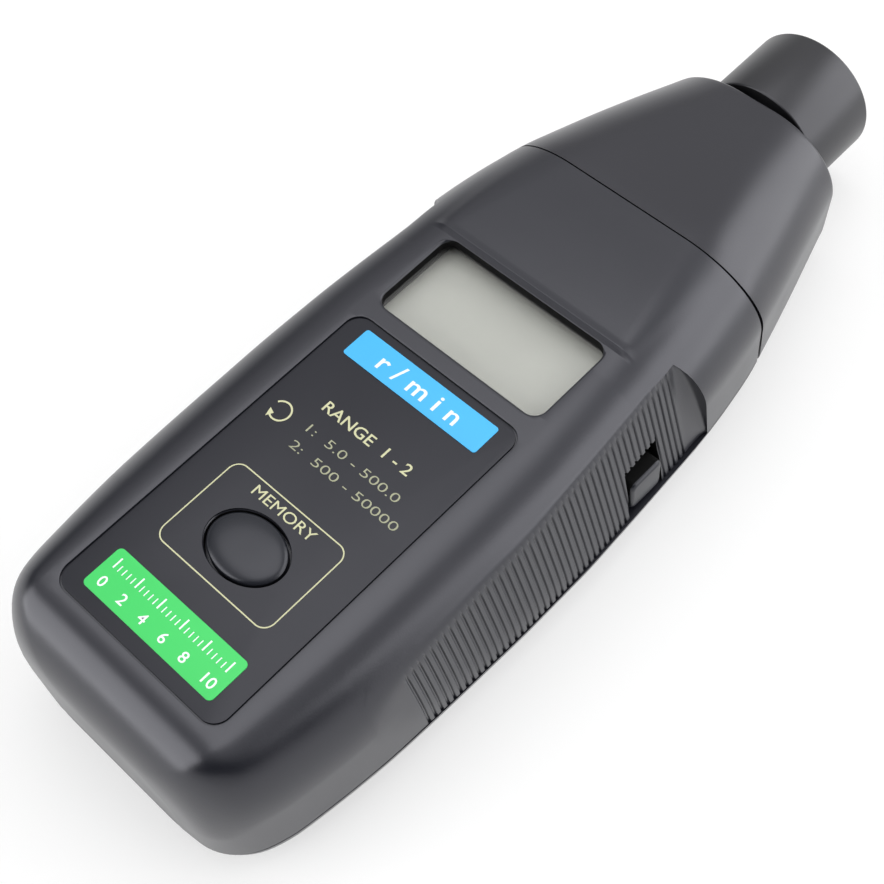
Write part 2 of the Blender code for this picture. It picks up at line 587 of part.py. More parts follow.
# Battery bay: tray, four cells, contacts
tray = box("battery_tray", (-28.8, -76.0, 5.2), (28.8, -17.2, 19.4), dark)
cut(tray, box("cut_tray", (-28.2, -75.3, 2.0), (28.2, -18.1, 18.4), hidden=True))
CELL_Z = 10.3
for n in range(4):
    cx = (n - 1.5) * CELL_PITCH
    flip = 1 if n % 2 == 0 else -1
    profile = [(0, -24.6), (CELL_R - 0.6, -24.6), (CELL_R, -24.0), (CELL_R, 23.6), (CELL_R - 0.6, 24.2),
               (2.7, 24.2), (2.7, 25.6), (0, 25.6)]
    if flip < 0:
        profile = [(r, -a) for r, a in profile]
    lathe(f"cell_{n + 1}", profile, (cx, -46.9, CELL_Z), "Y", wrap, steps=20)
    spring_y = -46.9 - flip * 24.85
    away = -flip
    radius = [4.6, 3.4]
    lathe(f"contact_spring_{n + 1}", [(radius[1] - 0.9, 0), (radius[1], 0), (radius[0], away * 1.9),
                                      (radius[0] - 0.9, away * 1.9)],
          (cx, spring_y, CELL_Z), "Y", steel, steps=14)
for n, x in enumerate((-21.15, 0.0, 21.15)):
    half = 6.0 if n != 1 else 12.5
    box(f"contact_plate_{n + 1}", (x - half, -75.1, 5.6), (x + half, -74.7, 15.6), steel)
for n, x in enumerate((-14.1, 14.1)):
    box(f"contact_link_{n + 1}", (x - 12.5, -18.6, 5.6), (x + 12.5, -18.25, 15.6), steel)
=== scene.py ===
"""Looks of a hand-held laser tachometer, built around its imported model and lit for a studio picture."""

from __future__ import annotations

import logging
import math
from dataclasses import dataclass
from enum import Enum

import bpy
import numpy as np
from mathutils import Matrix, Vector

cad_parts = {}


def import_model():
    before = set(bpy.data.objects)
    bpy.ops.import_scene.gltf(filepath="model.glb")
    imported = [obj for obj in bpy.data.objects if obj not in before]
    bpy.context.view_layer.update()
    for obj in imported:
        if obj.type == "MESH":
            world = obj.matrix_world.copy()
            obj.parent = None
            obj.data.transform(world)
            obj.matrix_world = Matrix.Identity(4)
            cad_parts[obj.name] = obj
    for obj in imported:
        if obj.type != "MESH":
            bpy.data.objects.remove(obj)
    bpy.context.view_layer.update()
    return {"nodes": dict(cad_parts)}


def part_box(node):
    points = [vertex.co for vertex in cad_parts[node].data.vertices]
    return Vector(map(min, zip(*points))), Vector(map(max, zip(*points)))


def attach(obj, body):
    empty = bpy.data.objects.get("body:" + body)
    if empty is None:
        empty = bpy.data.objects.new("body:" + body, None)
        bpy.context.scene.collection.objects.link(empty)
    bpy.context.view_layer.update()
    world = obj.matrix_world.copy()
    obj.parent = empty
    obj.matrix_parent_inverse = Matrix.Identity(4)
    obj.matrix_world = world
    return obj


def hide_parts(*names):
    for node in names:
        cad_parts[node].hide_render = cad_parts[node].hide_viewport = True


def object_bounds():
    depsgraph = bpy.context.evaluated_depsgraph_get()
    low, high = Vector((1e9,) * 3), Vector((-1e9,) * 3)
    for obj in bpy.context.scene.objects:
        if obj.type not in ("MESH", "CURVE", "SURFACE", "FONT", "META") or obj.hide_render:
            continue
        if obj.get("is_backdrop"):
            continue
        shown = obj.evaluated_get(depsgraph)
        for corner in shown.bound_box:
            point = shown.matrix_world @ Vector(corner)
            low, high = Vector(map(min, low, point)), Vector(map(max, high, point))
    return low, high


LOG = logging.getLogger("tachometer")
MM = 0.001
SENSOR_MM = 36.0
QUARTER = math.pi / 2
INK_THICK = 0.02
AXIS_Z = 17.5
BUTTON_Y = -60.55
BUTTON_RX = 8.5
BUTTON_RY = 6.35
SCREWS = ((-21.5, -80.6), (21.5, -80.6), (-20.5, 28.5), (20.5, 28.5))

Rows = tuple[tuple[float, float], ...]
Point = tuple[float, float, float]
Plan = tuple[float, float, float, float]
Piece = bpy.types.Object


class Body(Enum):
    """Rigid bodies that the pieces ride on."""

    CASE = "case"
    MEMORY_BUTTON = "memory_button"
    SIDE_BUTTON = "side_button"
    BATTERY_DOOR = "battery_door"


def smoothstep(low: float, high: float, value: np.ndarray) -> np.ndarray:
    """Rise smoothly from 0 at low to 1 at high.

    Args:
        low: Value where the rise starts.
        high: Value where the rise ends.
        value: Values to map.

    Returns:
        The cubic 3t^2 - 2t^3 of the clamped share t.
    """
    t = np.clip((value - low) / (high - low), 0.0, 1.0)
    return t * t * (3.0 - 2.0 * t)


def curve_through(rows: Rows, at: np.ndarray) -> np.ndarray:
    """Read a table with a monotone cubic curve through its rows.

    Each span is a Hermite cubic whose end slopes are the harmonic mean of the two
    neighbouring chords, or zero where the chords change sign.

    Args:
        rows: Pairs of place and value, with rising places.
        at: Places to read.

    Returns:
        The values at those places, held constant outside the table.
    """
    xs, vs = np.array(rows, float).T
    step = np.diff(xs)
    chord = np.diff(vs) / step
    slope = np.zeros(len(xs))
    slope[0], slope[-1] = chord[0], chord[-1]
    product, total = chord[:-1] * chord[1:], chord[:-1] + chord[1:]
    slope[1:-1] = np.where(product > 0, 2.0 * product / np.where(product > 0, total, 1.0), 0.0)
    y = np.clip(np.asarray(at, float), xs[0], xs[-1])
    i = np.clip(np.searchsorted(xs, y, side="right") - 1, 0, len(xs) - 2)
    t = (y - xs[i]) / step[i]
    a = (2 * t**3 - 3 * t**2 + 1) * vs[i] + (t**3 - 2 * t**2 + t) * step[i] * slope[i]
    b = (-2 * t**3 + 3 * t**2) * vs[i + 1] + (t**3 - t**2) * step[i] * slope[i + 1]
    return a + b


@dataclass(frozen=True)
class HousingForm:
    """Shape of the whole housing as a function of place, in millimetres."""

    butt_y: float = -97.6
    butt_start_y: float = -87.15
    butt_face_fall: float = 14.0
    butt_back_rise: float = 6.4
    nose_back_rise: float = 0.8
    side_tuck: float = 0.5
    bow_reach: float = 2.6
    seam_y: float = 36.95
    seam_gap: float = 0.3
    nose_front_y: float = 77.25
    face_z: float = 37.0
    step_y: float = 9.3
    step_rise: float = 0.62
    step_run: float = 1.05
    step_half_x: float = 24.6
    crease_soft: float = 0.7
    part_z: float = 7.5
    part_gap: float = 0.3
    wall: float = 2.0
    grip_end_y: float = 14.46
    rim_y: float = 16.6
    rib_first_y: float = -58.44
    rib_pitch: float = 1.55
    rib_groove: float = 0.8
    rib_flank: float = 0.32
    rib_depth: float = 0.38
    rib_count: int = 47
    bow_rows: Rows = ((-80.0, 0.0), (14.46, 0.0), (16.6, 1.5), (17.6, 1.5), (30.0, 0.0))
    width_rows: Rows = (
        (-97.6, 17.5), (-97.0, 22.6), (-95.6, 25.8), (-93.4, 28.2), (-90.6, 30.0), (-87.15, 31.3),
        (-84.65, 32.0), (-79.15, 32.9), (-71.65, 33.9), (-63.65, 34.7), (-56.65, 35.1), (-49.65, 35.4),
        (-40.65, 35.7), (-28.65, 36.0), (-16.0, 36.0), (-5.65, 35.6), (2.35, 35.2), (9.35, 34.8),
        (19.35, 34.2), (25.35, 33.6), (32.35, 32.6), (39.15, 31.4), (45.35, 29.8), (52.35, 27.9),
        (59.35, 25.9), (66.35, 23.8), (73.35, 21.7), (77.25, 20.6),
    )
    flat_rows: Rows = (
        (-97.6, 9.0), (-97.0, 13.0), (-95.6, 16.5), (-93.4, 19.0), (-90.6, 20.5), (-87.15, 21.3),
        (-82.3, 21.5), (-14.0, 21.5), (-4.0, 21.2), (9.35, 20.0), (23.0, 17.4), (36.95, 13.9),
        (58.7, 8.5), (77.25, 4.0),
    )
    top_rows: Rows = (
        (4.0, 37.0), (12.0, 37.25), (20.0, 37.35), (36.95, 36.95), (50.0, 35.7), (64.0, 33.7),
        (77.25, 31.3),
    )
    shoulder_rows: Rows = ((-97.6, 15.8), (36.95, 15.5), (77.25, 13.2))
    round_rows: Rows = ((-97.6, 8.0), (44.0, 8.0), (77.25, 7.6))
    grip_rows: Rows = (
        (-76.0, 37.6), (-66.0, 36.1), (-56.65, 35.5), (-40.65, 35.8), (-28.65, 36.0), (-13.65, 35.4),
        (2.35, 34.3), (15.0, 33.1), (24.0, 32.0),
    )
    slope_rows: Rows = ((-80.0, 0.1), (-57.0, 0.112), (-34.0, 0.152), (-5.0, 0.163), (24.0, 0.168))
    lean_rows: Rows = (
        (-80.0, 0.0), (-64.0, 0.09), (14.46, 0.09), (16.6, 0.2), (28.0, 0.18), (36.95, 0.168),
        (37.25, 0.205), (53.0, 0.1), (74.0, 0.0),
    )
    backing_rows: Rows = ((-78.0, 0.0), (-64.0, 1.2), (-54.0, 2.2), (14.0, 2.2), (25.0, 0.3), (32.0, 0.0))

    def butt_fall(self, y: np.ndarray) -> np.ndarray:
        """Share by which the butt has closed in: 1 - sqrt(1 - u^2), with u rising from 0 to 1 over it."""
        u = np.clip((self.butt_start_y - y) / (self.butt_start_y - self.butt_y), 0.0, 1.0)
        return 1.0 - np.sqrt(1.0 - u * u)

    def top(self, y: np.ndarray) -> np.ndarray:
        """Height of the front face, without the raised part: level, then a long fall to the nose."""
        return curve_through(self.top_rows, y) - self.butt_face_fall * self.butt_fall(y)

    def bottom(self, y: np.ndarray) -> np.ndarray:
        """Height of the back: flat, rounded up at the butt and lifted a little at the nose."""
        share = np.clip((y - self.seam_y) / (self.nose_front_y - self.seam_y), 0.0, 1.0)
        return self.butt_back_rise * self.butt_fall(y) + self.nose_back_rise * share

    def section(self, y: np.ndarray, inset: float) -> tuple[np.ndarray, ...]:
        """Give width, flat, top, bottom, shoulder drop and bottom rounding of the section.

        Args:
            y: Places along the body.
            inset: Distance inside the outer surface.

        Returns:
            Six arrays in that order.
        """
        width = curve_through(self.width_rows, y) - inset
        if inset >= self.wall:
            width = width - curve_through(self.backing_rows, y)
        flat = np.minimum(curve_through(self.flat_rows, y), width - 4.0)
        top = self.top(y) - inset
        bottom = self.bottom(y) + inset
        height = top - bottom
        drop = np.minimum(curve_through(self.shoulder_rows, y) - inset * 0.6, height * 0.5)
        rounding = np.minimum(np.maximum(curve_through(self.round_rows, y) - inset, 2.4), height * 0.3)
        return width, flat, top, bottom, drop, rounding

    def side(self, y: np.ndarray, z: np.ndarray) -> np.ndarray:
        """Half width of the rounded side: an ellipse on the shoulder, then a slightly tucked wall.

        Args:
            y: Places along the body.
            z: Heights.

        Returns:
            Distances from the middle plane.
        """
        width, flat, top, bottom, drop, rounding = self.section(y, 0.0)
        u = np.clip((z - top + drop) / drop, 0.0, 1.0)
        shoulder = flat + (width - flat) * np.sqrt(1.0 - u * u)
        wall = width - self.side_tuck * (top - drop - z) / np.maximum(top - drop - bottom - rounding, 1.0)
        return np.where(z >= top - drop, shoulder, wall)

    def grip(self, y: np.ndarray, z: np.ndarray) -> np.ndarray:
        """Half width of the flat grip wall, which slopes inwards as it rises."""
        return curve_through(self.grip_rows, y) - curve_through(self.slope_rows, y) * (z - 8.0)

    def grip_cut(self, proud: np.ndarray, station: np.ndarray) -> np.ndarray:
        """Depth cut away for the flat grip, with a softened crease: (d + sqrt(d^2 + soft^2)) / 2.

        Args:
            proud: How far the rounded side stands outside the grip, negative above the crease.
            station: Places along the body; the crease turns sharp towards the rim.

        Returns:
            Depths in millimetres.
        """
        soft = self.crease_soft * (1.0 - smoothstep(self.grip_end_y - 8.0, self.grip_end_y, station))
        return 0.5 * (proud + np.sqrt(proud**2 + soft**2))

    def placed(self, station: np.ndarray, z: np.ndarray, leaning: bool = True) -> np.ndarray:
        """Places along the body of a station's points, which lean forward below the front face.

        Args:
            station: Stations, measured at the face's level.
            z: Heights of the points, one row to a station.
            leaning: False for upright stations.

        Returns:
            Places in the shape of z.
        """
        lean = curve_through(self.lean_rows, station)[:, None] * (1.0 if leaning else 0.0)
        return station[:, None] + lean * (self.face_z - z)

    def bow(self, station: np.ndarray, below: np.ndarray) -> np.ndarray:
        """Backward shift of the grip's rim near the crease: it falls off as exp(-distance / reach).

        Args:
            station: Places along the body.
            below: Distances under the crease.

        Returns:
            Shifts in millimetres.
        """
        return curve_through(self.bow_rows, station) * np.exp(-np.abs(below) / self.bow_reach)

    def rib_cut(self, station: np.ndarray) -> np.ndarray:
        """Depth of the rib grooves: a flat-bottomed trough with steep rounded walls, once per pitch.

        Args:
            station: Places along the body at the front face's level.

        Returns:
            Depths, zero on the rib tops and outside the ribbed length.
        """
        phase = (station - self.rib_first_y) % self.rib_pitch
        rise = smoothstep(0.0, self.rib_flank, phase)
        trough = rise * (1.0 - smoothstep(self.rib_groove - self.rib_flank, self.rib_groove, phase))
        last = self.rib_first_y + self.rib_count * self.rib_pitch
        inside = (station > self.rib_first_y - 1e-6) & (station < last)
        return self.rib_depth * np.where(inside, trough, 0.0)

    def raised(self, x: np.ndarray, y: np.ndarray) -> np.ndarray:
        """Height of the raised part beyond the display over the general face.

        Args:
            x: Places across the body.
            y: Places along the body.

        Returns:
            Heights: a sharp rise at the display's far edge that fades towards the seam and both sides.
        """
        level = self.step_rise * np.clip((y - self.step_y) / self.step_run, 0.0, 1.0)
        over = curve_through(self.top_rows, y) - self.face_z
        fade = 1.0 - smoothstep(self.step_half_x - 3.4, self.step_half_x, np.abs(x))
        away = 1.0 - smoothstep(14.0, 34.0, y)
        return np.maximum(level * away - over * smoothstep(self.step_y, 12.0, y) * away, 0.0) * fade

    def crease_height(self, y: np.ndarray) -> np.ndarray:
        """Height, from 22 to 35.5 mm, where the side meets the grip wall, found by halving an interval."""
        low, high = np.full_like(y, 22.0), np.full_like(y, 35.5)
        for _ in range(26):
            middle = 0.5 * (low + high)
            proud = self.side(y, middle) > self.grip(y, middle)
            low, high = np.where(proud, middle, low), np.where(proud, high, middle)
        return 0.5 * (low + high)


FORM = HousingForm()


def front_half(station: np.ndarray) -> np.ndarray:
    """Right half of the front moulding's outer surface, from the middle of the face to the parting line.

    The face is level across its flat, the shoulder is a quarter ellipse down to the crease, and the
    wall below follows the side, the flat grip and its ribs, and past the last rib a quarter-circle ramp.

    Args:
        station: Places along the body, measured at the face's level.

    Returns:
        Points of shape (stations, columns, 3) in millimetres.
    """
    flat_share = np.linspace(0.0, 1.0, 13)[None, :]
    arc_share = np.linspace(0.0, 1.0, 19)[None, 1:]
    wall_share = np.linspace(0.0, 1.0, 17)[None, 1:] ** 1.15
    na, nb = flat_share.size, arc_share.size
    columns = na + nb + wall_share.size
    z = np.broadcast_to(FORM.top(station)[:, None], (station.size, columns)).copy()
    floor_z = FORM.part_z + FORM.part_gap / 2
    ramp = np.clip((station - FORM.grip_end_y) / (FORM.rim_y - FORM.grip_end_y), 0.0, 1.0)
    taken = np.sqrt(1.0 - ramp**2)[:, None]
    along = station[:, None]
    crease = np.full_like(z, 33.0)
    for _ in range(4):
        y = FORM.placed(station, z) - FORM.bow(along, crease - z)
        width, flat, top, _, drop, _ = FORM.section(y, 0.0)
        crease = FORM.crease_height(y)
        end = np.arcsin(np.clip((crease - top + drop) / drop, 0.0, 1.0))
        angle = QUARTER + (end[:, na:na + nb] - QUARTER) * arc_share
        z_arc = top[:, na:na + nb] - drop[:, na:na + nb] * (1.0 - np.sin(angle))
        start = crease[:, na + nb:]
        z_wall = start + (floor_z - start) * wall_share
        z = np.concatenate([top[:, :na], z_arc, z_wall], axis=1)
    x_flat = flat[:, :na] * flat_share
    x_arc = flat[:, na:na + nb] + (width - flat)[:, na:na + nb] * np.cos(angle)
    x_arc = x_arc - taken * FORM.grip_cut(x_arc - FORM.grip(y[:, na:na + nb], z_arc), along)
    y_wall = y[:, na + nb:]
    side = FORM.side(y_wall, z_wall)
    proud = side - FORM.grip(y_wall, z_wall)
    groove = FORM.rib_cut(station)[:, None] * smoothstep(0.5, 2.2, start - z_wall)
    x_wall = side - taken * FORM.grip_cut(proud, along) - groove
    x = np.concatenate([x_flat, x_arc, x_wall], axis=1)
    return np.stack([x, y, z + FORM.raised(x, y)], axis=2)


def lower_half(station: np.ndarray, upper: bool, inset: float = 0.0, leaning: bool = True) -> np.ndarray:
    """Right half of the section below the parting line, or of the whole section for the nose.

    The bottom corner is a quarter circle that runs into the flat back.

    Args:
        station: Places along the body, measured at the face's level.
        upper: True for the whole section, with the face, shoulder and wall above.
        inset: Distance inside the outer surface.
        leaning: False for upright rings.

    Returns:
        Points of shape (stations, columns, 3) in millimetres.
    """
    top_share = np.linspace(0.0, 1.0, 11)[None, :]
    shoulder = np.linspace(0.0, 1.0, 23)[None, 1:]
    wall = np.linspace(0.0, 1.0, 7)[None, 1:-1]
    arc_share = np.linspace(0.0, 1.0, 11)[None, :]
    back_share = np.linspace(0.0, 1.0, 7)[None, 1:]
    a, b = top_share.size, top_share.size + shoulder.size
    head = b + wall.size if upper else 0
    corner = slice(head, head + arc_share.size)
    z = np.zeros((station.size, head + arc_share.size + back_share.size))
    for _ in range(3):
        y = FORM.placed(station, z, leaning)
        width, flat, top, bottom, drop, rounding = FORM.section(y, inset)
        parts_x, parts_z = [], []
        if upper:
            angle = QUARTER * (1.0 - shoulder)
            high, low = (top - drop)[:, b:head], (bottom + rounding)[:, b:head]
            parts_x += [flat[:, :a] * top_share, flat[:, a:b] + (width - flat)[:, a:b] * np.cos(angle),
                        width[:, b:head] - FORM.side_tuck * wall]
            parts_z += [top[:, :a], top[:, a:b] - drop[:, a:b] * (1.0 - np.sin(angle)),
                        high + (low - high) * wall]
        r, base = rounding[:, corner], bottom[:, corner]
        over = (base + r - FORM.part_z + FORM.part_gap / 2) / r
        first = 0.0 if upper else np.arcsin(np.clip(over, 0.0, 1.0))
        angle = first + (QUARTER - first) * arc_share
        tuck = width - FORM.side_tuck
        parts_x += [tuck[:, corner] - r + r * np.cos(angle),
                    (tuck - rounding)[:, corner.stop:] * (1.0 - back_share)]
        parts_z += [base + r - r * np.sin(angle), bottom[:, corner.stop:]]
        x, z = np.concatenate(parts_x, axis=1), np.concatenate(parts_z, axis=1)
    return np.stack([x, y, z], axis=2)


def mirrored(half: np.ndarray) -> np.ndarray:
    """Join a right half, whose first column lies in the middle plane, to its mirror image."""
    left = half[:, ::-1, :] * np.array([-1.0, 1.0, 1.0])
    return np.concatenate([left[:, :-1, :], half], axis=1)


def grid_faces(rows: int, columns: int, wrap: bool) -> list[list[int]]:
    """Quads of a grid of points, row by row.

    Args:
        rows: Number of rows.
        columns: Points in a row.
        wrap: True where the last column joins the first.

    Returns:
        Corner indices of each quad.
    """
    i = np.arange(rows - 1)[:, None] * columns
    j = np.arange(columns if wrap else columns - 1)[None, :]
    k = (j + 1) % columns
    return np.stack([i + j, i + k, i + columns + k, i + columns + j], axis=2).reshape(-1, 4).tolist()


def linked(name: str, data: bpy.types.ID) -> Piece:
    """Make an object of some data at the origin and link it to the scene."""
    made = bpy.data.objects.new(name, data)
    bpy.context.scene.collection.objects.link(made)
    return made


def mesh_from(name: str, points: np.ndarray, faces: list[list[int]], smooth: bool = True) -> Piece:
    """Make an object at the origin from points in millimetres and faces.

    Args:
        name: Name of the object and its mesh.
        points: Points in an array whose last axis has length 3.
        faces: Corner indices of each face.
        smooth: True for smooth shading.

    Returns:
        The new object, linked to the scene.
    """
    mesh = bpy.data.meshes.new(name)
    mesh.from_pydata((np.asarray(points, float).reshape(-1, 3) * MM).tolist(), [], faces)
    mesh.validate()
    mesh.polygons.foreach_set("use_smooth", np.full(len(mesh.polygons), smooth))
    return linked(name, mesh)


def outwards(piece: Piece) -> Piece:
    """Turn the faces of a closed body outwards where its signed volume is negative."""
    mesh = piece.data
    mesh.calc_loop_triangles()
    corner = np.zeros(len(mesh.loop_triangles) * 3, np.int32)
    mesh.loop_triangles.foreach_get("vertices", corner)
    place = np.zeros(len(mesh.vertices) * 3)
    mesh.vertices.foreach_get("co", place)
    tri = place.reshape(-1, 3)[corner.reshape(-1, 3)]
    if np.einsum("ij,ij->i", tri[:, 0], np.cross(tri[:, 1], tri[:, 2])).sum() < 0:
        mesh.flip_normals()
    return piece


def ring_solid(name: str, rings: np.ndarray) -> Piece:
    """Closed body through rings of points, with a flat cap on each end.

    Args:
        name: Name of the piece.
        rings: Points of shape (rings, points, 3).

    Returns:
        The body, with its faces outwards.
    """
    rows, columns = rings.shape[:2]
    last = (rows - 1) * columns
    caps = [list(range(columns))[::-1], list(range(last, last + columns))]
    return outwards(mesh_from(name, rings, grid_faces(rows, columns, True) + caps))


def lathe_solid(name: str, profile: list[tuple[float, float]], centre: Point, axis: str, steps: int = 96,
                stretch: float = 1.0) -> Piece:
    """Turn a profile about an axis; one that starts off the axis closes on itself as a ring.

    Args:
        name: Name of the piece.
        profile: Pairs of radius and place along the axis, in millimetres.
        centre: A point of the axis.
        axis: "Y" or "Z".
        steps: Steps in a full turn.
        stretch: Factor across the axis that makes an oval.

    Returns:
        The body, with its faces outwards.
    """
    rows = np.array(profile, float)
    turn = np.arange(steps) * 2 * math.pi / steps
    u, v = rows[:, :1] * np.cos(turn) * stretch, rows[:, :1] * np.sin(turn)
    along = np.broadcast_to(rows[:, 1:], u.shape)
    order = (u, v, along) if axis == "Z" else (u, along, v)
    points = np.stack(order, axis=2) + np.array(centre)
    here = np.arange(steps)
    after = (here + 1) % steps
    if rows[0, 0] > 1e-6:
        last = (len(rows) - 1) * steps
        seam = np.stack([last + here, last + after, after, here], axis=1).tolist()
        return outwards(mesh_from(name, points, grid_faces(len(rows), steps, True) + seam))
    inner = points[1:-1].reshape(-1, 3)
    rim = len(inner) - steps
    near = np.stack([np.full(steps, len(inner)), after, here], axis=1).tolist()
    far = np.stack([np.full(steps, len(inner) + 1), rim + here, rim + after], axis=1).tolist()
    tips = np.concatenate([inner, points[0, :1], points[-1, :1]])
    return outwards(mesh_from(name, tips, grid_faces(len(rows) - 2, steps, True) + near + far))


def rounded_loop(half_x: float, y0: float, y1: float, radius: float, steps: int = 12) -> np.ndarray:
    """Loop of a rectangle with quarter-circle corners, in plan.

    Args:
        half_x: Half width.
        y0: Near edge.
        y1: Far edge.
        radius: Corner radius.
        steps: Steps in each corner.

    Returns:
        Points of shape (n, 2), anticlockwise.
    """
    turn = np.linspace(0.0, QUARTER, steps + 1)
    cx, cy0, cy1 = half_x - radius, y0 + radius, y1 - radius
    corners = [(cx, cy1), (-cx, cy1), (-cx, cy0), (cx, cy0)]
    return np.concatenate([
        np.stack([x + radius * np.cos(turn + n * QUARTER), y + radius * np.sin(turn + n * QUARTER)], axis=1)
        for n, (x, y) in enumerate(corners)
    ])


def at_level(loop: np.ndarray, z: float | np.ndarray) -> np.ndarray:
    """Lift points in plan to a height, or to one height each."""
    return np.column_stack([loop, np.broadcast_to(z, len(loop))])


def round_over(radius: float, count: int) -> list[tuple[float, float]]:
    """Places on a quarter circle over an edge.

    Args:
        radius: Its radius.
        count: Number of places.

    Returns:
        Pairs: how far each place lies in from the side, and how far below the end.
    """
    turns = np.linspace(0.0, QUARTER, count)
    return [(radius * (1 - math.cos(t)), radius * (1 - math.sin(t))) for t in turns]


def stacked_solid(name: str, plan: Plan, rows: list[tuple[float, float]],
                  lift: float = 0.0, lift_from: float = 0.0) -> Piece:
    """Body through rounded rectangles that are drawn in by given amounts at given heights.

    Args:
        name: Name of the piece.
        plan: Half width, near edge, far edge and corner radius.
        rows: Pairs of the amount drawn in and the height.
        lift: How much higher all but the first row lie past lift_from.
        lift_from: Place past which they are higher.

    Returns:
        The body.
    """
    half_x, y0, y1, radius = plan
    rings = []
    for n, (cut, z) in enumerate(rows):
        loop = rounded_loop(half_x - cut, y0 + cut, y1 - cut, max(radius - cut, 0.02))
        rise = lift * smoothstep(lift_from - 1.6, lift_from, loop[:, 1]) if n else 0.0
        rings.append(at_level(loop, z + rise))
    return ring_solid(name, np.array(rings))


def plate_solid(name: str, plan: Plan, z0: float, z1: float,
                edge: float = 0.05) -> Piece:
    """Plate with rounded corners in plan and a rounded upper edge.

    Args:
        name: Name of the piece.
        plan: Half width, near edge, far edge and corner radius.
        z0: Underside.
        z1: Upper side.
        edge: Radius of the upper edge.

    Returns:
        The plate.
    """
    rows = [(0.0, z0)] + [(cut, z1 - drop) for cut, drop in round_over(edge, 4)]
    return stacked_solid(name, plan, rows)


def lipped_cutter(name: str, plan: Plan, z0: float, z1: float, lip: float,
                  lift: float = 0.0, lift_from: float = 0.0) -> Piece:
    """Cutter for an opening whose upper rim is rounded over: it flares by a quarter circle at its top.

    Args:
        name: Name of the cutter.
        plan: Half width, near edge, far edge and corner radius of the opening.
        z0: Lowest level.
        z1: Level of the face.
        lip: Radius of the rounded rim.
        lift: How much higher the face is past lift_from.
        lift_from: Place past which the face is higher.

    Returns:
        The cutter.
    """
    rows = [(0.0, z0)] + [(-cut, z1 - drop) for cut, drop in round_over(lip, 6)] + [(-lip, z1 + 3.0)]
    return stacked_solid(name, plan, rows, lift, lift_from)


def block(name: str, low: Point, high: Point) -> Piece:
    """Plain block between two corners, in millimetres."""
    loop = np.array([[low[0], low[1]], [high[0], low[1]], [high[0], high[1]], [low[0], high[1]]])
    return ring_solid(name, np.array([at_level(loop, low[2]), at_level(loop, high[2])]))


def ink_solid(name: str, plan: np.ndarray, faces: list[list[int]], level: float) -> Piece:
    """Thin solid of ink over faces in plan, with walls along the edges that one face alone has.

    Args:
        name: Name of the piece.
        plan: Points of shape (n, 2).
        faces: Corner indices of each face, anticlockwise.
        level: Height of its underside.

    Returns:
        The solid.
    """
    count = len(plan)
    edges = {pair for face in faces for pair in zip(face, face[1:] + face[:1])}
    walls = [[a, b, b + count, a + count] for a, b in sorted(edges) if (b, a) not in edges]
    ends = [face[::-1] for face in faces] + [[i + count for i in face] for face in faces]
    points = np.concatenate([at_level(plan, level), at_level(plan, level + INK_THICK)])
    return mesh_from(name, points, ends + walls, False)


def crisp(piece: Piece, degrees: float = 34.0) -> Piece:
    """Shade a piece smooth, apart from edges that turn by more than the given angle."""
    mesh = piece.data
    mesh.polygons.foreach_set("use_smooth", np.full(len(mesh.polygons), True))
    mesh.set_sharp_from_angle(angle=math.radians(degrees))
    return piece


def carved(piece: Piece, tools: list[Piece], added: list[Piece] | None = None) -> Piece:
    """Add and then subtract tool bodies, remove them, and mark the crisp edges.

    Args:
        piece: Body that is cut.
        tools: Closed bodies to subtract.
        added: Closed bodies to join on first.

    Returns:
        The cut piece.
    """
    added = added or []
    for tool in added + tools:
        step = piece.modifiers.new(tool.name, "BOOLEAN")
        step.object = tool
        step.operation = "UNION" if tool in added else "DIFFERENCE"
        step.solver = "MANIFOLD"
    bpy.context.view_layer.update()
    graph = bpy.context.evaluated_depsgraph_get()
    result = bpy.data.meshes.new_from_object(piece.evaluated_get(graph))
    piece.modifiers.clear()
    old = piece.data
    piece.data = result
    bpy.data.meshes.remove(old)
    for tool in added + tools:
        bpy.data.objects.remove(tool)
    return crisp(piece)


def shader_node(nodes: bpy.types.Nodes, kind: str, operation: str = "", **inputs: float) -> bpy.types.Node:
    """Add a shader node.

    Args:
        nodes: Nodes of the material or world.
        kind: Type of the node without its first word.
        operation: Its operation, where it has one.
        inputs: Values by the input's name, with an underscore for each space.

    Returns:
        The node.
    """
    node = nodes.new(f"ShaderNode{kind}")
    if operation:
        node.operation = operation
    for name, value in inputs.items():
        node.inputs[name.replace("_", " ")].default_value = value
    return node


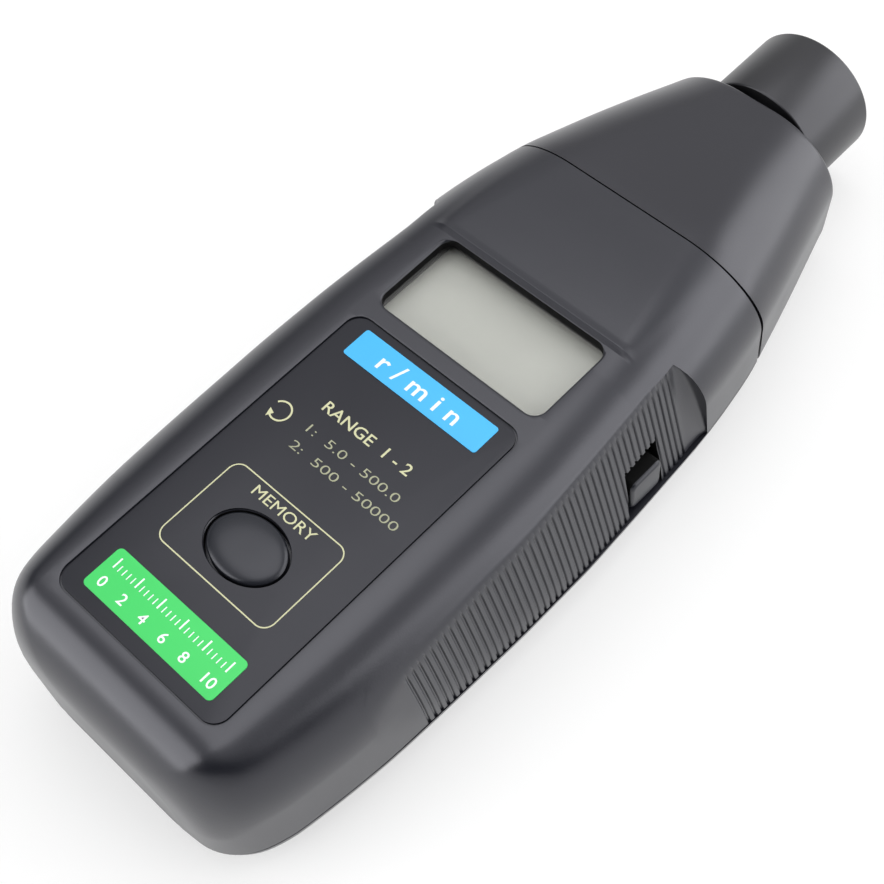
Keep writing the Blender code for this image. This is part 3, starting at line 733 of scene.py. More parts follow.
@dataclass(frozen=True)
class Finish:
    """Procedural surface finish: base tone with soft variation, fine grain as bump, uneven roughness.

    Colours are written as they look, from 0 to 255; sizes are in millimetres.
    """

    name: str
    colour: tuple[int, int, int]
    roughness: float = 0.45
    metallic: float = 0.0
    grain: float = 0.4
    depth: float = 0.01
    tone: float = 0.06
    uneven: float = 0.05
    coat: float = 0.0
    alpha: float = 1.0
    specular: float = 0.5
    glint: Point = (1.0, 1.0, 1.0)

    def linear(self, factor: float = 1.0) -> tuple[float, ...]:
        """Colour as linear light: each share c becomes ((c + 0.055) / 1.055)^2.4, times a factor."""
        share = np.array(self.colour) / 255.0
        light = np.where(share > 0.04045, ((share + 0.055) / 1.055) ** 2.4, share / 12.92)
        return (*np.clip(light * factor, 0.0, 1.0).tolist(), 1.0)

    def build(self) -> bpy.types.Material:
        """Make the node material, or return it where it exists already."""
        own_name = f"look_{self.name}"
        made = bpy.data.materials.get(own_name)
        if made:
            return made
        made = bpy.data.materials.new(own_name)
        made.use_nodes = True
        nodes, links = made.node_tree.nodes, made.node_tree.links
        shader = nodes["Principled BSDF"]
        shader.inputs["Metallic"].default_value = self.metallic
        shader.inputs["Coat Weight"].default_value = self.coat
        shader.inputs["Coat Roughness"].default_value = 0.12
        shader.inputs["Alpha"].default_value = self.alpha
        shader.inputs["Specular IOR Level"].default_value = self.specular
        shader.inputs["Specular Tint"].default_value = (*self.glint, 1.0)
        place = shader_node(nodes, "TexCoord").outputs["Object"]
        cloud = shader_node(nodes, "TexNoise", Scale=70.0, Detail=3.0)
        fine = shader_node(nodes, "TexNoise", Scale=1000.0 / self.grain, Detail=2.0)
        links.new(place, cloud.inputs["Vector"])
        links.new(place, fine.inputs["Vector"])
        tint = nodes.new("ShaderNodeMix")
        tint.data_type = "RGBA"
        tint.inputs["A"].default_value = self.linear(1.0 - self.tone)
        tint.inputs["B"].default_value = self.linear(1.0 + self.tone)
        links.new(cloud.outputs["Fac"], tint.inputs["Factor"])
        links.new(self.colouring(nodes, links, place, tint.outputs["Result"]), shader.inputs["Base Color"])
        rough = shader_node(nodes, "MapRange", To_Min=max(self.roughness - self.uneven, 0.02),
                            To_Max=min(self.roughness + self.uneven, 1.0))
        links.new(cloud.outputs["Fac"], rough.inputs["Value"])
        links.new(rough.outputs["Result"], shader.inputs["Roughness"])
        bump = shader_node(nodes, "Bump", Distance=self.depth * MM, Strength=0.8)
        links.new(fine.outputs["Fac"], bump.inputs["Height"])
        links.new(bump.outputs["Normal"], shader.inputs["Normal"])
        return made

    def colouring(self, nodes: bpy.types.Nodes, links: bpy.types.NodeLinks, place: bpy.types.NodeSocket,
                  tint: bpy.types.NodeSocket) -> bpy.types.NodeSocket:
        """Give the base colour's socket; finishes with a pattern override this."""
        return tint


@dataclass(frozen=True)
class BandedFinish(Finish):
    """Finish whose tone changes along the body, as on a battery's printed sleeve."""

    band: tuple[int, int, int] = (186, 189, 194)
    edge_y: float = -35.0

    def colouring(self, nodes: bpy.types.Nodes, links: bpy.types.NodeLinks, place: bpy.types.NodeSocket,
                  tint: bpy.types.NodeSocket) -> bpy.types.NodeSocket:
        """Mix the base tone with the band's tone where y passes the edge.

        Args:
            nodes: Nodes of the material.
            links: Its links.
            place: Socket with the object's coordinates.
            tint: Socket with the base tone.

        Returns:
            The mixed colour's socket.
        """
        split = shader_node(nodes, "SeparateXYZ")
        links.new(place, split.inputs["Vector"])
        step = shader_node(nodes, "MapRange", From_Min=(self.edge_y - 0.1) * MM,
                           From_Max=(self.edge_y + 0.1) * MM)
        links.new(split.outputs["Y"], step.inputs["Value"])
        mix = nodes.new("ShaderNodeMix")
        mix.data_type = "RGBA"
        mix.inputs["B"].default_value = Finish("", self.band).linear()
        links.new(step.outputs["Result"], mix.inputs["Factor"])
        links.new(tint, mix.inputs["A"])
        return mix.outputs["Result"]


COOL = (0.93, 0.93, 1.0)
CASING = Finish("satin_casing", (25, 26, 33), 0.30, 0.0, 0.35, 0.012, 0.05, specular=0.8, glint=COOL)
NOSE = Finish("satin_nose", (28, 28, 34), 0.30, 0.0, 0.35, 0.012, 0.05, specular=0.8, glint=COOL)
BARREL = Finish("barrel_plastic", (30, 30, 32), 0.36, 0.0, 0.3, 0.008, 0.05, specular=0.75, glint=COOL)
BUTTON = Finish("smooth_button", (30, 32, 38), 0.30, 0.0, 0.5, 0.004, 0.04, specular=0.52, glint=COOL)
LABEL = Finish("label_film", (22, 23, 30), 0.36, 0.0, 0.25, 0.006, 0.05, specular=0.5, glint=COOL)
GREEN = Finish("green_film", (66, 212, 104), 0.5, grain=0.25, depth=0.004, tone=0.03)
BLUE = Finish("blue_film", (70, 186, 246), 0.5, grain=0.25, depth=0.004, tone=0.03)
INK = Finish("pale_ink", (208, 208, 168), 0.6, grain=0.2, depth=0.003, tone=0.05)
FAINT_INK = Finish("faint_ink", (168, 170, 142), 0.6, grain=0.2, depth=0.003, tone=0.08)
WHITE_INK = Finish("white_ink", (244, 248, 250), 0.6, grain=0.2, depth=0.003, tone=0.03)
WINDOW = Finish("clear_window", (250, 250, 248), 0.06, grain=0.6, depth=0.001, tone=0.01, alpha=0.12)
LCD = Finish("display_panel", (170, 172, 163), 0.35, grain=0.3, depth=0.002, tone=0.03)
LENS = Finish("coated_lens", (92, 60, 110), 0.04, grain=1.0, depth=0.001, tone=0.1, alpha=0.5, coat=1.0)
BLACK = Finish("black_plastic", (28, 28, 30), 0.5, grain=0.3, depth=0.01)
# Painted shade: a near-black matt colour for faces inside openings and behind the side button's cap,
# standing in for the shadow there.
PAINTED_SHADE = Finish("painted_shade_black", (10, 10, 11), 0.85, grain=0.3, depth=0.01, specular=0.2)
STEEL = Finish("plated_steel", (196, 198, 200), 0.28, metallic=1.0, grain=0.3, depth=0.004)
BRASS = Finish("turned_brass", (202, 168, 92), 0.3, metallic=1.0, grain=0.25, depth=0.004)
LAMINATE = Finish("green_laminate", (34, 92, 58), 0.4, grain=0.6, depth=0.02, tone=0.25)
RUBBER = Finish("striped_rubber", (190, 186, 176), 0.7, grain=0.5, depth=0.02)
WRAP = BandedFinish("cell_sleeve", (72, 88, 116), 0.35, grain=0.6, depth=0.004)


def settle(piece: Piece, finish: Finish, body: Body, slot: str, *nodes: str) -> Piece:
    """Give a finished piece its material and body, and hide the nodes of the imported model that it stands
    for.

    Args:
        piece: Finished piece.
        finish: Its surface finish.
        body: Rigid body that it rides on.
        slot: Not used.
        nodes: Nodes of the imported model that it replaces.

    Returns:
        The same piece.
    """
    piece.data.materials.clear()
    piece.data.materials.append(finish.build())
    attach(piece, body.value)
    if nodes:
        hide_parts(*nodes)
    LOG.info("%s: %d points", piece.name, len(piece.data.vertices))
    return piece


def face_places(piece: Piece) -> tuple[np.ndarray, np.ndarray]:
    """Centres, in millimetres, and directions of a piece's faces.

    Args:
        piece: Piece to read.

    Returns:
        Two arrays of shape (faces, 3).
    """
    count = len(piece.data.polygons)
    centre, normal = np.zeros(count * 3), np.zeros(count * 3)
    piece.data.polygons.foreach_get("center", centre)
    piece.data.polygons.foreach_get("normal", normal)
    return centre.reshape(-1, 3) / MM, normal.reshape(-1, 3)


def second_finish(piece: Piece, finish: Finish, chosen: np.ndarray) -> None:
    """Give the chosen faces of a finished piece a second finish.

    Args:
        piece: Piece that has its first finish.
        finish: Finish of the chosen faces.
        chosen: True for each face that gets it.
    """
    piece.data.materials.append(finish.build())
    piece.data.polygons.foreach_set("material_index", chosen.astype(np.int32))


@dataclass(frozen=True)
class Housing:
    """Front and rear mouldings and the nose cap, with their openings."""

    label_pocket: Plan = (20.35, -86.3, -13.9, 3.4)
    window: Plan = (19.5, -10.25, 9.1, 2.6)
    window_lip: float = 0.55
    skirt: Plan = (21.1, -11.85, 10.7, 3.4)
    side_opening: Plan = (-1.3, 8.7, 7.2, 20.7)
    door: Plan = (25.9, -73.9, -19.1, 1.8)
    bore: float = 11.5
    nose_edge: float = 0.8

    def butt_stations(self) -> np.ndarray:
        """Stations over the rounded butt, closer together towards its end."""
        return FORM.butt_y + 16.0 * np.linspace(0.0, 1.0, 22) ** 2.2

    def front_stations(self) -> np.ndarray:
        """Stations of the front moulding: the butt, every groove and rib, the ramp and the rest."""
        phase = np.array([0.0, 0.09, 0.18, 0.27, 0.4, 0.53, 0.62, 0.71, 0.8, 1.18])
        starts = FORM.rib_first_y + FORM.rib_pitch * np.arange(FORM.rib_count)
        ribs = (starts[:, None] + phase[None, :]).ravel()
        ramp = FORM.grip_end_y + (FORM.rim_y - FORM.grip_end_y) * np.sin(np.linspace(0.02, QUARTER, 14))
        rest = np.concatenate([[FORM.rim_y + 0.02], np.linspace(FORM.rim_y + 1.0, FORM.seam_y, 22)])
        butt = self.butt_stations()
        lead = np.linspace(butt[-1] + 1.5, FORM.rib_first_y - 0.7, 16)
        step = FORM.step_y + FORM.step_run * np.array([-0.1, 0.0, 0.5, 1.0, 1.1])
        stations = np.unique(np.round(np.concatenate([butt, lead, ribs, ramp, rest, step]), 4))
        return stations[(stations <= FORM.seam_y) & (np.diff(stations, append=1e3) > 0.015)]

    def cavity(self, start: float = -95.4, end: float = 36.0, last: float = 48.0) -> Piece:
        """Cutter of the hollow: upright sections one wall inside the surface.

        Args:
            start: First place.
            end: Last place that follows the surface.
            last: Place where the cutter stops.

        Returns:
            The cutter.
        """
        stations = np.concatenate([np.linspace(start, end, 40), [last]])
        return ring_solid("cut_hollow", mirrored(lower_half(stations, True, FORM.wall, False)))

    def front(self) -> Piece:
        """Front moulding with ribbed grips, label pocket, display window and button openings."""
        shell = ring_solid("front_shell", mirrored(front_half(self.front_stations())))
        y0, y1, z0, z1 = self.side_opening
        rim = BUTTON_RY + 0.2
        hole = [(0, 30.0), (BUTTON_RY, 30.0), (BUTTON_RY, 36.3), (rim, 36.55), (rim, 40.0), (0, 40.0)]
        tools = [
            self.cavity(),
            lipped_cutter("cut_label", self.label_pocket, 36.5, FORM.face_z, 0.12),
            lipped_cutter("cut_window", self.window, 33.0, FORM.face_z, self.window_lip, FORM.step_rise,
                          FORM.step_y),
            lathe_solid("cut_memory", hole, (0, BUTTON_Y, 0), "Z", 96, BUTTON_RX / BUTTON_RY),
            block("cut_side", (28.0, y0, z0), (44.0, y1, z1)),
        ]
        return carved(shell, tools, [plate_solid("add_skirt", self.skirt, 34.2, 35.6)])

    def walls_for_painted_shade(self, front: Piece) -> np.ndarray:
        """Find the faces of the front moulding that line an opening, which get painted shade.

        Args:
            front: The carved moulding.

        Returns:
            True for each such face.
        """
        centre, normal = face_places(front)
        x, y, z = centre.T
        upright = (np.abs(normal[:, 2]) < 0.25) & (z > 33.0)
        half_x, near, far, _ = self.window
        window = upright & (np.abs(x) < half_x + 0.05) & (y > near - 0.05) & (y < far + 0.05)
        share = (x / (BUTTON_RX + 0.35)) ** 2 + ((y - BUTTON_Y) / (BUTTON_RY + 0.35)) ** 2
        hole = upright & (share < 1.02)
        y0, y1, z0, z1 = self.side_opening
        side = (x > 28.0) & (y > y0 - 0.02) & (y < y1 + 0.02) & (z > z0 - 0.02) & (z < z1 + 0.02)
        return window | hole | (side & (np.abs(normal[:, 0]) < 0.5))

    def rear(self) -> Piece:
        """Rear moulding with the battery opening and four counterbored screw holes."""
        stations = np.concatenate([self.butt_stations(), np.linspace(-80.0, FORM.seam_y, 60)])
        shell = ring_solid("rear_shell", mirrored(lower_half(stations, False)))
        shell = carved(shell, [self.cavity()])
        tower = [(0, 1.5), (3.3, 1.5), (3.3, 7.6), (0, 7.6)]
        hole = [(0, -1.5), (3.35, -1.5), (3.35, 0.0), (3.0, 0.35), (3.0, 4.5), (1.7, 4.5), (1.7, 10.5),
                (0, 10.5)]
        towers, holes = (
            [lathe_solid(f"{use}_tower_{n}", profile, (x, y, 0), "Z", 48) for n, (x, y) in enumerate(SCREWS)]
            for use, profile in (("add", tower), ("cut", hole))
        )
        return carved(shell, [lipped_cutter("cut_door", self.door, -3.0, 5.0, 0.01)] + holes, towers)

    def nose(self) -> Piece:
        """Nose cap with its hollow and the bore for the barrel, and a rounded front edge."""
        front = FORM.nose_front_y
        stations = np.linspace(FORM.seam_y + FORM.seam_gap, front - self.nose_edge, 44)
        halves = [lower_half(stations, True)]
        for cut, drop in round_over(self.nose_edge, 7)[1:]:
            halves.append(lower_half(np.array([front - drop]), True, cut, False))
        shell = ring_solid("nose_shell", mirrored(np.concatenate(halves)))
        wide = self.bore + 0.3
        bore = [(0, 60.0), (self.bore, 60.0), (self.bore, front - 0.3), (wide, front + 0.02),
                (wide, front + 3.0), (0, front + 3.0)]
        return carved(shell, [self.cavity(30.0, 74.2, 74.25),
                              lathe_solid("cut_bore", bore, (0, 0, AXIS_Z), "Y", 96)])

    def build(self) -> None:
        """Make the three mouldings and hand them over."""
        front = settle(crisp(self.front(), 24.0), CASING, Body.CASE, "casing_plastic", "front_case")
        # Painted shade: the walls of the display window, memory hole and side opening get the near-black
        # finish in place of the shadow inside them.
        second_finish(front, PAINTED_SHADE, self.walls_for_painted_shade(front))
        settle(self.rear(), CASING, Body.CASE, "casing_plastic", "rear_case")
        settle(self.nose(), NOSE, Body.CASE, "casing_plastic", "nose_cap")


@dataclass(frozen=True)
class Optics:
    """Lens barrel, front lens and its retaining ring."""

    back: float = 79.0
    front: float = 97.6
    sleeve: float = 14.1
    neck: float = 11.2
    bore: float = 12.0
    lens_inset: float = 9.4
    lens_r: float = 11.7

    def build(self) -> None:
        """Make the turned pieces and hand them over."""
        lens_y = self.front - self.lens_inset
        back = [(self.sleeve - cut, self.back + drop) for cut, drop in round_over(0.4, 6)[::-1]]
        rim = [(self.sleeve - cut, self.front - drop) for cut, drop in round_over(0.7, 6)]
        barrel = [(9.4, 65.5), (self.neck, 65.5), (self.neck, self.back), *back, *rim,
                  (self.bore + 0.2, self.front), (self.bore, self.front - 0.4), (self.bore, lens_y - 0.4),
                  (9.4, lens_y - 0.4)]
        turns = np.linspace(0, QUARTER, 12)[1:]
        crown = [(self.lens_r * math.sin(t), lens_y + 1.2 + 1.3 * math.cos(t)) for t in turns]
        lens = [(0, lens_y + 2.5), *crown, (self.lens_r, lens_y), (0, lens_y)]
        ring = [(10.5, lens_y + 2.2), (11.75, lens_y + 1.6), (11.75, lens_y + 3.2), (10.8, lens_y + 3.2),
                (10.5, lens_y + 2.9)]
        for name, profile, steps, finish, slot, node in (
            ("barrel", barrel, 128, BARREL, "dark_plastic", "lens_barrel"),
            ("lens", lens, 96, LENS, "clear_glass", "front_lens"),
            ("retaining_ring", ring, 96, BLACK, "dark_plastic", "lens_ring"),
        ):
            turned = crisp(lathe_solid(name, profile, (0, 0, AXIS_Z), "Y", steps))
            settle(turned, finish, Body.CASE, slot, node)


@dataclass(frozen=True)
class Buttons:
    """Oval memory button and the button in the right grip."""

    clear: float = 0.42
    crown: float = 1.04
    side_y: float = 3.8
    side_z: float = 12.8
    side_half: tuple[float, float] = (4.3, 4.05)
    side_edge: float = 0.9

    def memory(self) -> Piece:
        """Dome on an oval skirt with a flange; its height falls as (1 - share^3.4)^0.55 of the crown."""
        dome_r = BUTTON_RY - self.clear
        share = np.linspace(0.0, 1.0, 22)[::-1]
        dome = [(float(dome_r * q), float(36.5 + self.crown * (1.0 - q**3.4) ** 0.55)) for q in share]
        profile = [(0, 32.9), (1.5, 32.9), (1.5, 33.5), (7.3, 33.5), (7.3, 34.6), (dome_r, 34.6), *dome]
        return lathe_solid("memory_cap", profile, (0, BUTTON_Y, 0), "Z", 96, BUTTON_RX / BUTTON_RY)

    def side(self) -> Piece:
        """Side button: a plunger, a flange inside the wall and a rounded cap that stands in the opening."""
        back, face = (float(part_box("side_button")[end][0]) / MM for end in (0, 1))
        half_y, half_z = self.side_half
        plunger, flange = (1.5, 1.5, 0.0, 0.4), (6.2, 5.9, 2.6, 0.6)
        rows = [(back, *plunger), (back + 1.0, *plunger), (back + 1.0, *flange), (back + 2.0, *flange),
                (back + 2.0, half_y, half_z, -0.55, 1.4)]
        rows += [(face - drop, half_y - cut, half_z - cut, -0.55, 1.4 - 0.5 * cut)
                 for cut, drop in round_over(self.side_edge, 7)]
        rings = []
        for x, wide, tall, lift, corner in rows:
            middle = self.side_z + lift
            loop = rounded_loop(wide, middle - tall, middle + tall, corner, 6)
            rings.append(np.column_stack([np.full(len(loop), x), self.side_y + loop[:, 0], loop[:, 1]]))
        return crisp(ring_solid("side_cap", np.array(rings)))

    def build(self) -> None:
        """Make both buttons and hand them over."""
        settle(crisp(self.memory(), 40.0), BUTTON, Body.MEMORY_BUTTON, "button_plastic", "memory_button")
        side = settle(self.side(), BUTTON, Body.SIDE_BUTTON, "button_plastic", "side_button")
        centre, normal = face_places(side)
        # Painted shade: the faces behind the cap's front face, and those not facing outwards, get the
        # near-black finish, standing in for the shadow in the opening above the cap.
        second_finish(side, PAINTED_SHADE, (centre[:, 0] < centre[:, 0].max() - 1.0) | (normal[:, 0] < 0.35))


@dataclass(frozen=True)
class Print:
    """One line of generic printing on the front, fitted to a width and a height."""

    name: str
    words: str
    centre: tuple[float, float]
    size: tuple[float, float]
    level: float
    finish: Finish
    slot: str = "label_film"
    weight: float = 0.0

    def build(self) -> None:
        """Turn the words into a thin solid on the face and hand it over."""
        curve = bpy.data.curves.new(self.name, "FONT")
        curve.body = self.words
        curve.extrude = INK_THICK
        curve.offset = self.weight
        curve.resolution_u = 3
        source = linked(self.name + "_words", curve)
        bpy.context.view_layer.update()
        graph = bpy.context.evaluated_depsgraph_get()
        mesh = bpy.data.meshes.new_from_object(source.evaluated_get(graph))
        bpy.data.objects.remove(source)
        place = np.zeros(len(mesh.vertices) * 3)
        mesh.vertices.foreach_get("co", place)
        place = place.reshape(-1, 3)
        low, high = place.min(axis=0), place.max(axis=0)
        scale = np.array(self.size) / (high - low)[:2]
        flat = (place[:, :2] - 0.5 * (low + high)[:2]) * scale + np.array(self.centre)
        lift = self.level + (place[:, 2] - low[2]) / (high[2] - low[2]) * INK_THICK
        mesh.vertices.foreach_set("co", (at_level(flat, lift) * MM).ravel())
        mesh.update()
        settle(linked(self.name, mesh), self.finish, Body.CASE, self.slot)


@dataclass(frozen=True)
class Label:
    """Dark film on the front with its two coloured badges, frame line and generic printing."""

    film: Plan = (20.1, -86.05, -14.15, 3.2)
    top: float = 36.82
    hole: tuple[float, float] = (8.65, 6.5)
    green: Plan = (16.0, -83.35, -74.55, 1.0)
    blue: Plan = (16.1, -22.25, -15.75, 0.6)
    badge_z: tuple[float, float] = (36.84, 36.96)
    badge_ink: float = 36.965
    frame: Plan = (13.8, -69.35, -49.75, 2.4)
    line: float = 0.24

    def frame_line(self) -> Piece:
        """Thin closed line round the memory button's field."""
        half_x, y0, y1, radius = self.frame
        inner = rounded_loop(half_x - self.line, y0 + self.line, y1 - self.line, radius - self.line)
        plan = np.concatenate([rounded_loop(*self.frame), inner])
        count = len(inner)
        faces = [[i, (i + 1) % count, count + (i + 1) % count, count + i] for i in range(count)]
        return ink_solid("memory_frame_line", plan, faces, self.top)

    def ticks(self, count: int = 26, pitch: float = 1.12, base_y: float = -78.1) -> Piece:
        """Row of upright scale marks, every fifth one taller and wider.

        Args:
            count: Number of marks.
            pitch: Distance between marks.
            base_y: Place of their feet.

        Returns:
            The marks as one thin solid.
        """
        n = np.arange(count)
        x = (n - (count - 1) / 2) * pitch
        tall, wide = np.where(n % 5 == 0, [[2.2], [0.16]], [[1.3], [0.1]])
        corner = np.array([[-1.0, 0.0], [1.0, 0.0], [1.0, 1.0], [-1.0, 1.0]])
        across, along = x[:, None] + corner[:, 0] * wide[:, None], base_y + corner[:, 1] * tall[:, None]
        plan = np.stack([across, along], axis=2).reshape(-1, 2)
        faces = np.arange(4 * count).reshape(-1, 4).tolist()
        return ink_solid("badge_scale", plan, faces, self.badge_ink)

    def turn_mark(self, place: tuple[float, float] = (-15.4, -38.2)) -> Piece:
        """Generic mark for turning: an open ring with an arrow head, left of the printed lines."""
        turns = np.linspace(math.radians(150.0), math.radians(-120.0), 40)
        end, count = turns[-1], len(turns)
        angle = np.concatenate([turns, turns, [end, end, end - 0.75]])
        radius = np.concatenate([np.full(count, 2.2), np.full(count, 1.85), [2.8, 1.25, 2.0]])
        plan = np.stack([np.cos(angle) * radius, np.sin(angle) * radius], axis=1) + np.array(place)
        faces = [[count + i, count + i + 1, i + 1, i] for i in range(count - 1)]
        return ink_solid("turn_mark", plan, faces + [[2 * count, 2 * count + 1, 2 * count + 2]], self.top)

    def build(self) -> None:
        """Make the film, badges and printing and hand them over."""
        film = plate_solid("label_plate", self.film, 36.52, self.top, 0.1)
        hole_x, hole_y = self.hole
        profile = [(0, 35.0), (hole_y, 35.0), (hole_y, 39.0), (0, 39.0)]
        hole = lathe_solid("cut_film", profile, (0, BUTTON_Y, 0), "Z", 96, hole_x / hole_y)
        settle(carved(film, [hole]), LABEL, Body.CASE, "label_film", "panel_label")
        green = plate_solid("green_plate", self.green, *self.badge_z)
        blue = plate_solid("blue_plate", self.blue, *self.badge_z)
        settle(crisp(green), GREEN, Body.CASE, "green_film", "green_badge")
        settle(crisp(blue), BLUE, Body.CASE, "blue_film", "blue_badge")
        settle(self.frame_line(), INK, Body.CASE, "label_film")
        settle(self.turn_mark(), INK, Body.CASE, "label_film")
        settle(self.ticks(), WHITE_INK, Body.CASE, "green_film")
        for line in (
            Print("badge_numerals", "0    2    4    6    8    10", (0.2, -80.9), (28.6, 2.1),
                  self.badge_ink, WHITE_INK, "green_film", 0.01),
            Print("badge_unit", "r / m i n", (0.0, -19.0), (19.0, 3.6),
                  self.badge_ink, WHITE_INK, "blue_film", 0.01),
            Print("heading", "RANGE  1 - 2", (0.1, -32.1), (20.8, 2.3), self.top, INK, weight=0.008),
            Print("range_one", "1:  5.0 - 500.0", (1.8, -37.3), (22.0, 1.75),
                  self.top, FAINT_INK, weight=-0.008),
            Print("range_two", "2:  500 - 50000", (3.6, -41.4), (25.6, 1.75),
                  self.top, FAINT_INK, weight=-0.008),
            Print("button_word", "MEMORY", (0.0, -51.9), (14.6, 2.1), self.top, INK),
        ):
            line.build()


@dataclass(frozen=True)
class BackPieces:
    """Battery door and the four countersunk screws of the back."""

    half_x: float = 25.6
    y0: float = -73.6
    y1: float = -19.4
    edge: float = 0.35

    def door(self) -> Piece:
        """Door plate with soft outer edges, a thumb groove and its tongue."""
        rows = [(0.0, 2.0)] + [(cut, self.edge + drop) for cut, drop in round_over(self.edge, 5)]
        plate = stacked_solid("door_plate", (self.half_x, self.y0, self.y1, 1.6), rows)
        tongue = [block("add_root", (-6.0, self.y0 + 0.3, 1.5), (6.0, self.y0 + 2.8, 3.2)),
                  block("add_tip", (-6.0, self.y0 - 1.3, 2.3), (6.0, self.y0 + 1.0, 3.2))]
        tools = [lipped_cutter("cut_thumb", (7.0, self.y1 - 5.0, self.y1 - 3.6, 0.5), -1.0, 0.9, 0.001)]
        for n in range(3):
            y = self.y1 - 7.4 - 1.6 * n
            tools.append(block(f"cut_line_{n}", (-5.5 + n, y, -1.0), (5.5 - n, y + 0.6, 0.6)))
        return carved(plate, tools, tongue)

    def screw(self, n: int, x: float, y: float) -> Piece:
        """Screw with a slightly crowned head and a cross recess."""
        crown = [(2.6 * math.sin(t), 2.65 - 0.35 * math.cos(t)) for t in np.linspace(0.0, QUARTER, 8)[1:]]
        profile = [(0, 2.3), *crown, (2.6, 4.3), (1.25, 4.3), (1.1, 15.8), (0, 16.5)]
        body = lathe_solid(f"screw_{n}", profile, (x, y, 0), "Z", 48)
        arms = ((1.5, 0.28), (0.28, 1.5))
        slots = [block("cut_slot", (x - a, y - b, 0.0), (x + a, y + b, 3.4)) for a, b in arms]
        return carved(body, slots)

    def build(self) -> None:
        """Make the door and the screws and hand them over."""
        settle(self.door(), CASING, Body.BATTERY_DOOR, "casing_plastic", "battery_door")
        for n, (x, y) in enumerate(SCREWS, 1):
            settle(self.screw(n, x, y), STEEL, Body.CASE, "plated_steel", f"case_screw_{n}")


@dataclass(frozen=True)
class CarriedOver:
    """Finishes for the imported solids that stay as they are."""

    finishes: tuple[tuple[str, Finish], ...] = (
        ("display_window", WINDOW), ("display_glass", LCD), ("main_board", LAMINATE),
        ("sensor_board", LAMINATE), ("switch_board", LAMINATE), ("crystal", STEEL), ("capacitor", STEEL),
        ("zebra", RUBBER), ("cell_", WRAP), ("contact_", STEEL), ("laser_module", BRASS),
    )

    def build(self, nodes: dict[str, Piece]) -> None:
        """Assign a finish to every shown solid by the start of its name, and black plastic to the rest.

        Args:
            nodes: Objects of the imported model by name.
        """
        for name, node in nodes.items():
            if node.hide_render:
                continue
            finish = next((look for start, look in self.finishes if name.startswith(start)), BLACK)
            node.data.materials.clear()
            node.data.materials.append(finish.build())
            LOG.info("%s: %s", name, finish.name)


@dataclass(frozen=True)
class Lamp:
    """Soft rectangular lamp aimed at a point, in metres and watts."""

    name: str
    place: Point
    size: tuple[float, float]
    power: float
    target: Point = (0.0, 0.0, 0.02)

    def build(self) -> None:
        """Create the lamp."""
        light = bpy.data.lights.new(self.name, "AREA")
        light.shape = "RECTANGLE"
        light.size, light.size_y = self.size
        light.energy = self.power
        away = Vector(self.place) - Vector(self.target)
        turn = away.to_track_quat("Z", "Y").to_matrix().to_4x4()
        linked(self.name, light).matrix_world = Matrix.Translation(self.place) @ turn


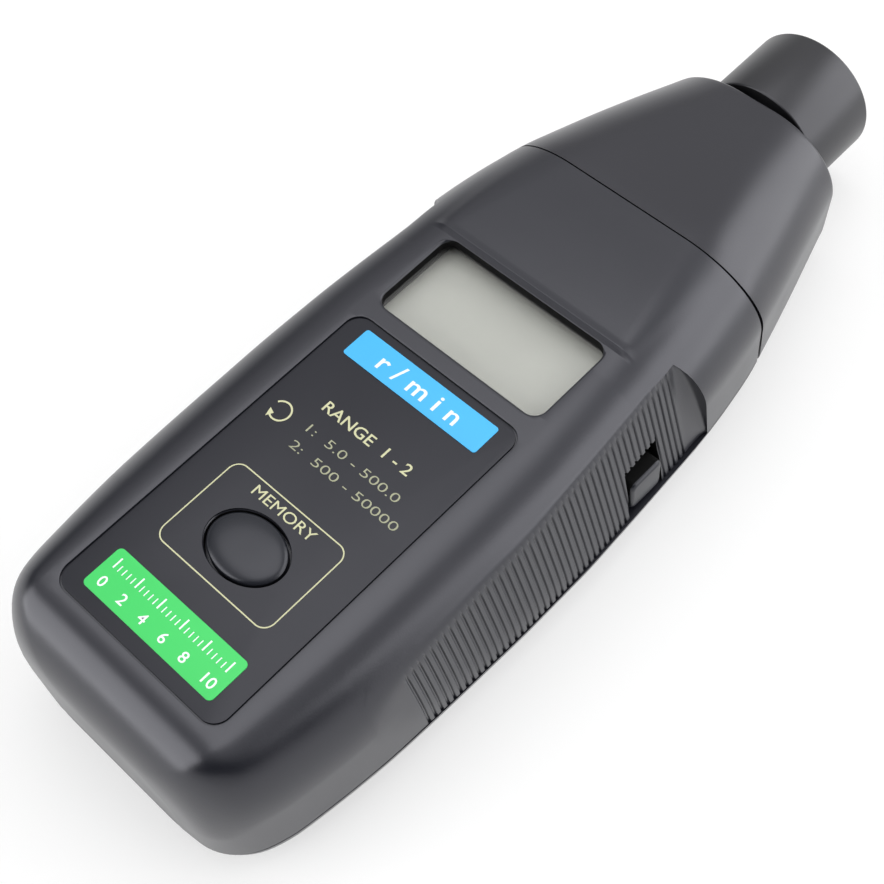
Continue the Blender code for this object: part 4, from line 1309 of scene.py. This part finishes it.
@dataclass(frozen=True)
class Studio:
    """Pale floor that curves up far out, soft lamps, world and the camera of the photograph."""

    lens: float = 65.158
    place: Point = (0.12077, -0.11702, 0.27046)
    right: Point = (0.7223, 0.6882, -0.0678)
    down: Point = (0.5626, -0.6418, -0.5211)
    ahead: Point = (-0.4022, 0.3382, -0.8508)
    horizon: float = 0.03
    zenith: float = 0.76
    tent_axis: Point = (-0.1, 0.35, 0.93)
    tent_edge: tuple[float, float] = (0.3, 0.85)
    floor_glow: float = 0.55
    floor_albedo: float = 0.45
    sweep_half: float = 12000.0
    sweep_rows: Rows = (
        (0.0, 0.0), (2500.0, 0.0), (5000.0, 120.0), (8000.0, 700.0), (12000.0, 2200.0), (17000.0, 4800.0),
    )
    lamps: tuple[Lamp, ...] = (
        Lamp("top_softbox", (-0.15, 0.10, 0.9), (0.7, 0.7), 2.4),
        Lamp("right_softbox", (0.57, 0.60, 0.38), (1.3, 0.75), 7.2),
        Lamp("butt_softbox", (-0.44, -0.78, 0.40), (0.8, 0.75), 5.6),
    )

    def camera(self) -> None:
        """Create the camera from its three axes."""
        data = bpy.data.cameras.new("photo_camera")
        data.lens, data.sensor_width = self.lens, SENSOR_MM
        data.clip_start = 0.005
        camera = linked("photo_camera", data)
        axes = Matrix((Vector(self.right), -Vector(self.down), -Vector(self.ahead)))
        camera.matrix_world = Matrix.Translation(self.place) @ axes.transposed().to_4x4()
        bpy.context.scene.camera = camera

    def floor(self) -> None:
        """Create the floor, white to the eye and to reflections, that still takes the shadow."""
        across = np.linspace(-self.sweep_half, self.sweep_half, 81)
        x, y = np.meshgrid(across, across)
        z = curve_through(self.sweep_rows, np.hypot(x, y)) - 0.2
        floor = mesh_from("floor", np.stack([x, y, z], axis=2), grid_faces(across.size, across.size, False))
        floor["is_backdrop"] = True
        paint = bpy.data.materials.new("floor_paint")
        paint.use_nodes = True
        nodes, links = paint.node_tree.nodes, paint.node_tree.links
        shader = nodes["Principled BSDF"]
        shader.inputs["Roughness"].default_value = 0.9
        shader.inputs["Base Color"].default_value = (self.floor_albedo,) * 3 + (1.0,)
        shader.inputs["Emission Color"].default_value = (1.0, 1.0, 1.0, 1.0)
        rays = shader_node(nodes, "LightPath")
        shown = rays.outputs["Is Camera Ray"]
        for kind in ("Is Glossy Ray", "Is Transmission Ray"):
            either = shader_node(nodes, "Math", "ADD")
            either.use_clamp = True
            links.new(shown, either.inputs[0])
            links.new(rays.outputs[kind], either.inputs[1])
            shown = either.outputs["Value"]
        glow = shader_node(nodes, "Math", "MULTIPLY")
        glow.inputs[1].default_value = self.floor_glow
        links.new(shown, glow.inputs[0])
        links.new(glow.outputs["Value"], shader.inputs["Emission Strength"])
        floor.data.materials.append(paint)

    def world(self) -> None:
        """Set the world: a pale tent, bright round a leaning axis overhead and dark towards the horizon."""
        world = bpy.data.worlds.new("studio")
        bpy.context.scene.world = world
        world.use_nodes = True
        nodes, links = world.node_tree.nodes, world.node_tree.links
        back = nodes["Background"]
        back.inputs["Color"].default_value = (1.0, 1.0, 1.0, 1.0)
        along = shader_node(nodes, "VectorMath", "DOT_PRODUCT")
        along.inputs[1].default_value = self.tent_axis
        links.new(shader_node(nodes, "TexCoord").outputs["Generated"], along.inputs[0])
        low, high = self.tent_edge
        level = shader_node(nodes, "MapRange", From_Min=low, From_Max=high, To_Min=self.horizon,
                            To_Max=self.zenith)
        level.interpolation_type = "SMOOTHSTEP"
        links.new(along.outputs["Value"], level.inputs["Value"])
        links.new(level.outputs["Result"], back.inputs["Strength"])

    def build(self) -> None:
        """Set up the whole studio."""
        self.floor()
        self.world()
        for lamp in self.lamps:
            lamp.build()
        self.camera()
        bpy.context.scene.view_settings.view_transform = "Standard"


def corners() -> list[list[float]]:
    """Lowest and highest corner of the shown object as plain numbers."""
    return [[float(value) for value in corner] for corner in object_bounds()]


def main() -> None:
    """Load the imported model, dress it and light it."""
    logging.basicConfig(level=logging.INFO, format="%(message)s")
    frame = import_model()
    Housing().build()
    Optics().build()
    Buttons().build()
    Label().build()
    BackPieces().build()
    CarriedOver().build(frame["nodes"])
    Studio().build()


if __name__ == "__main__":
    main()
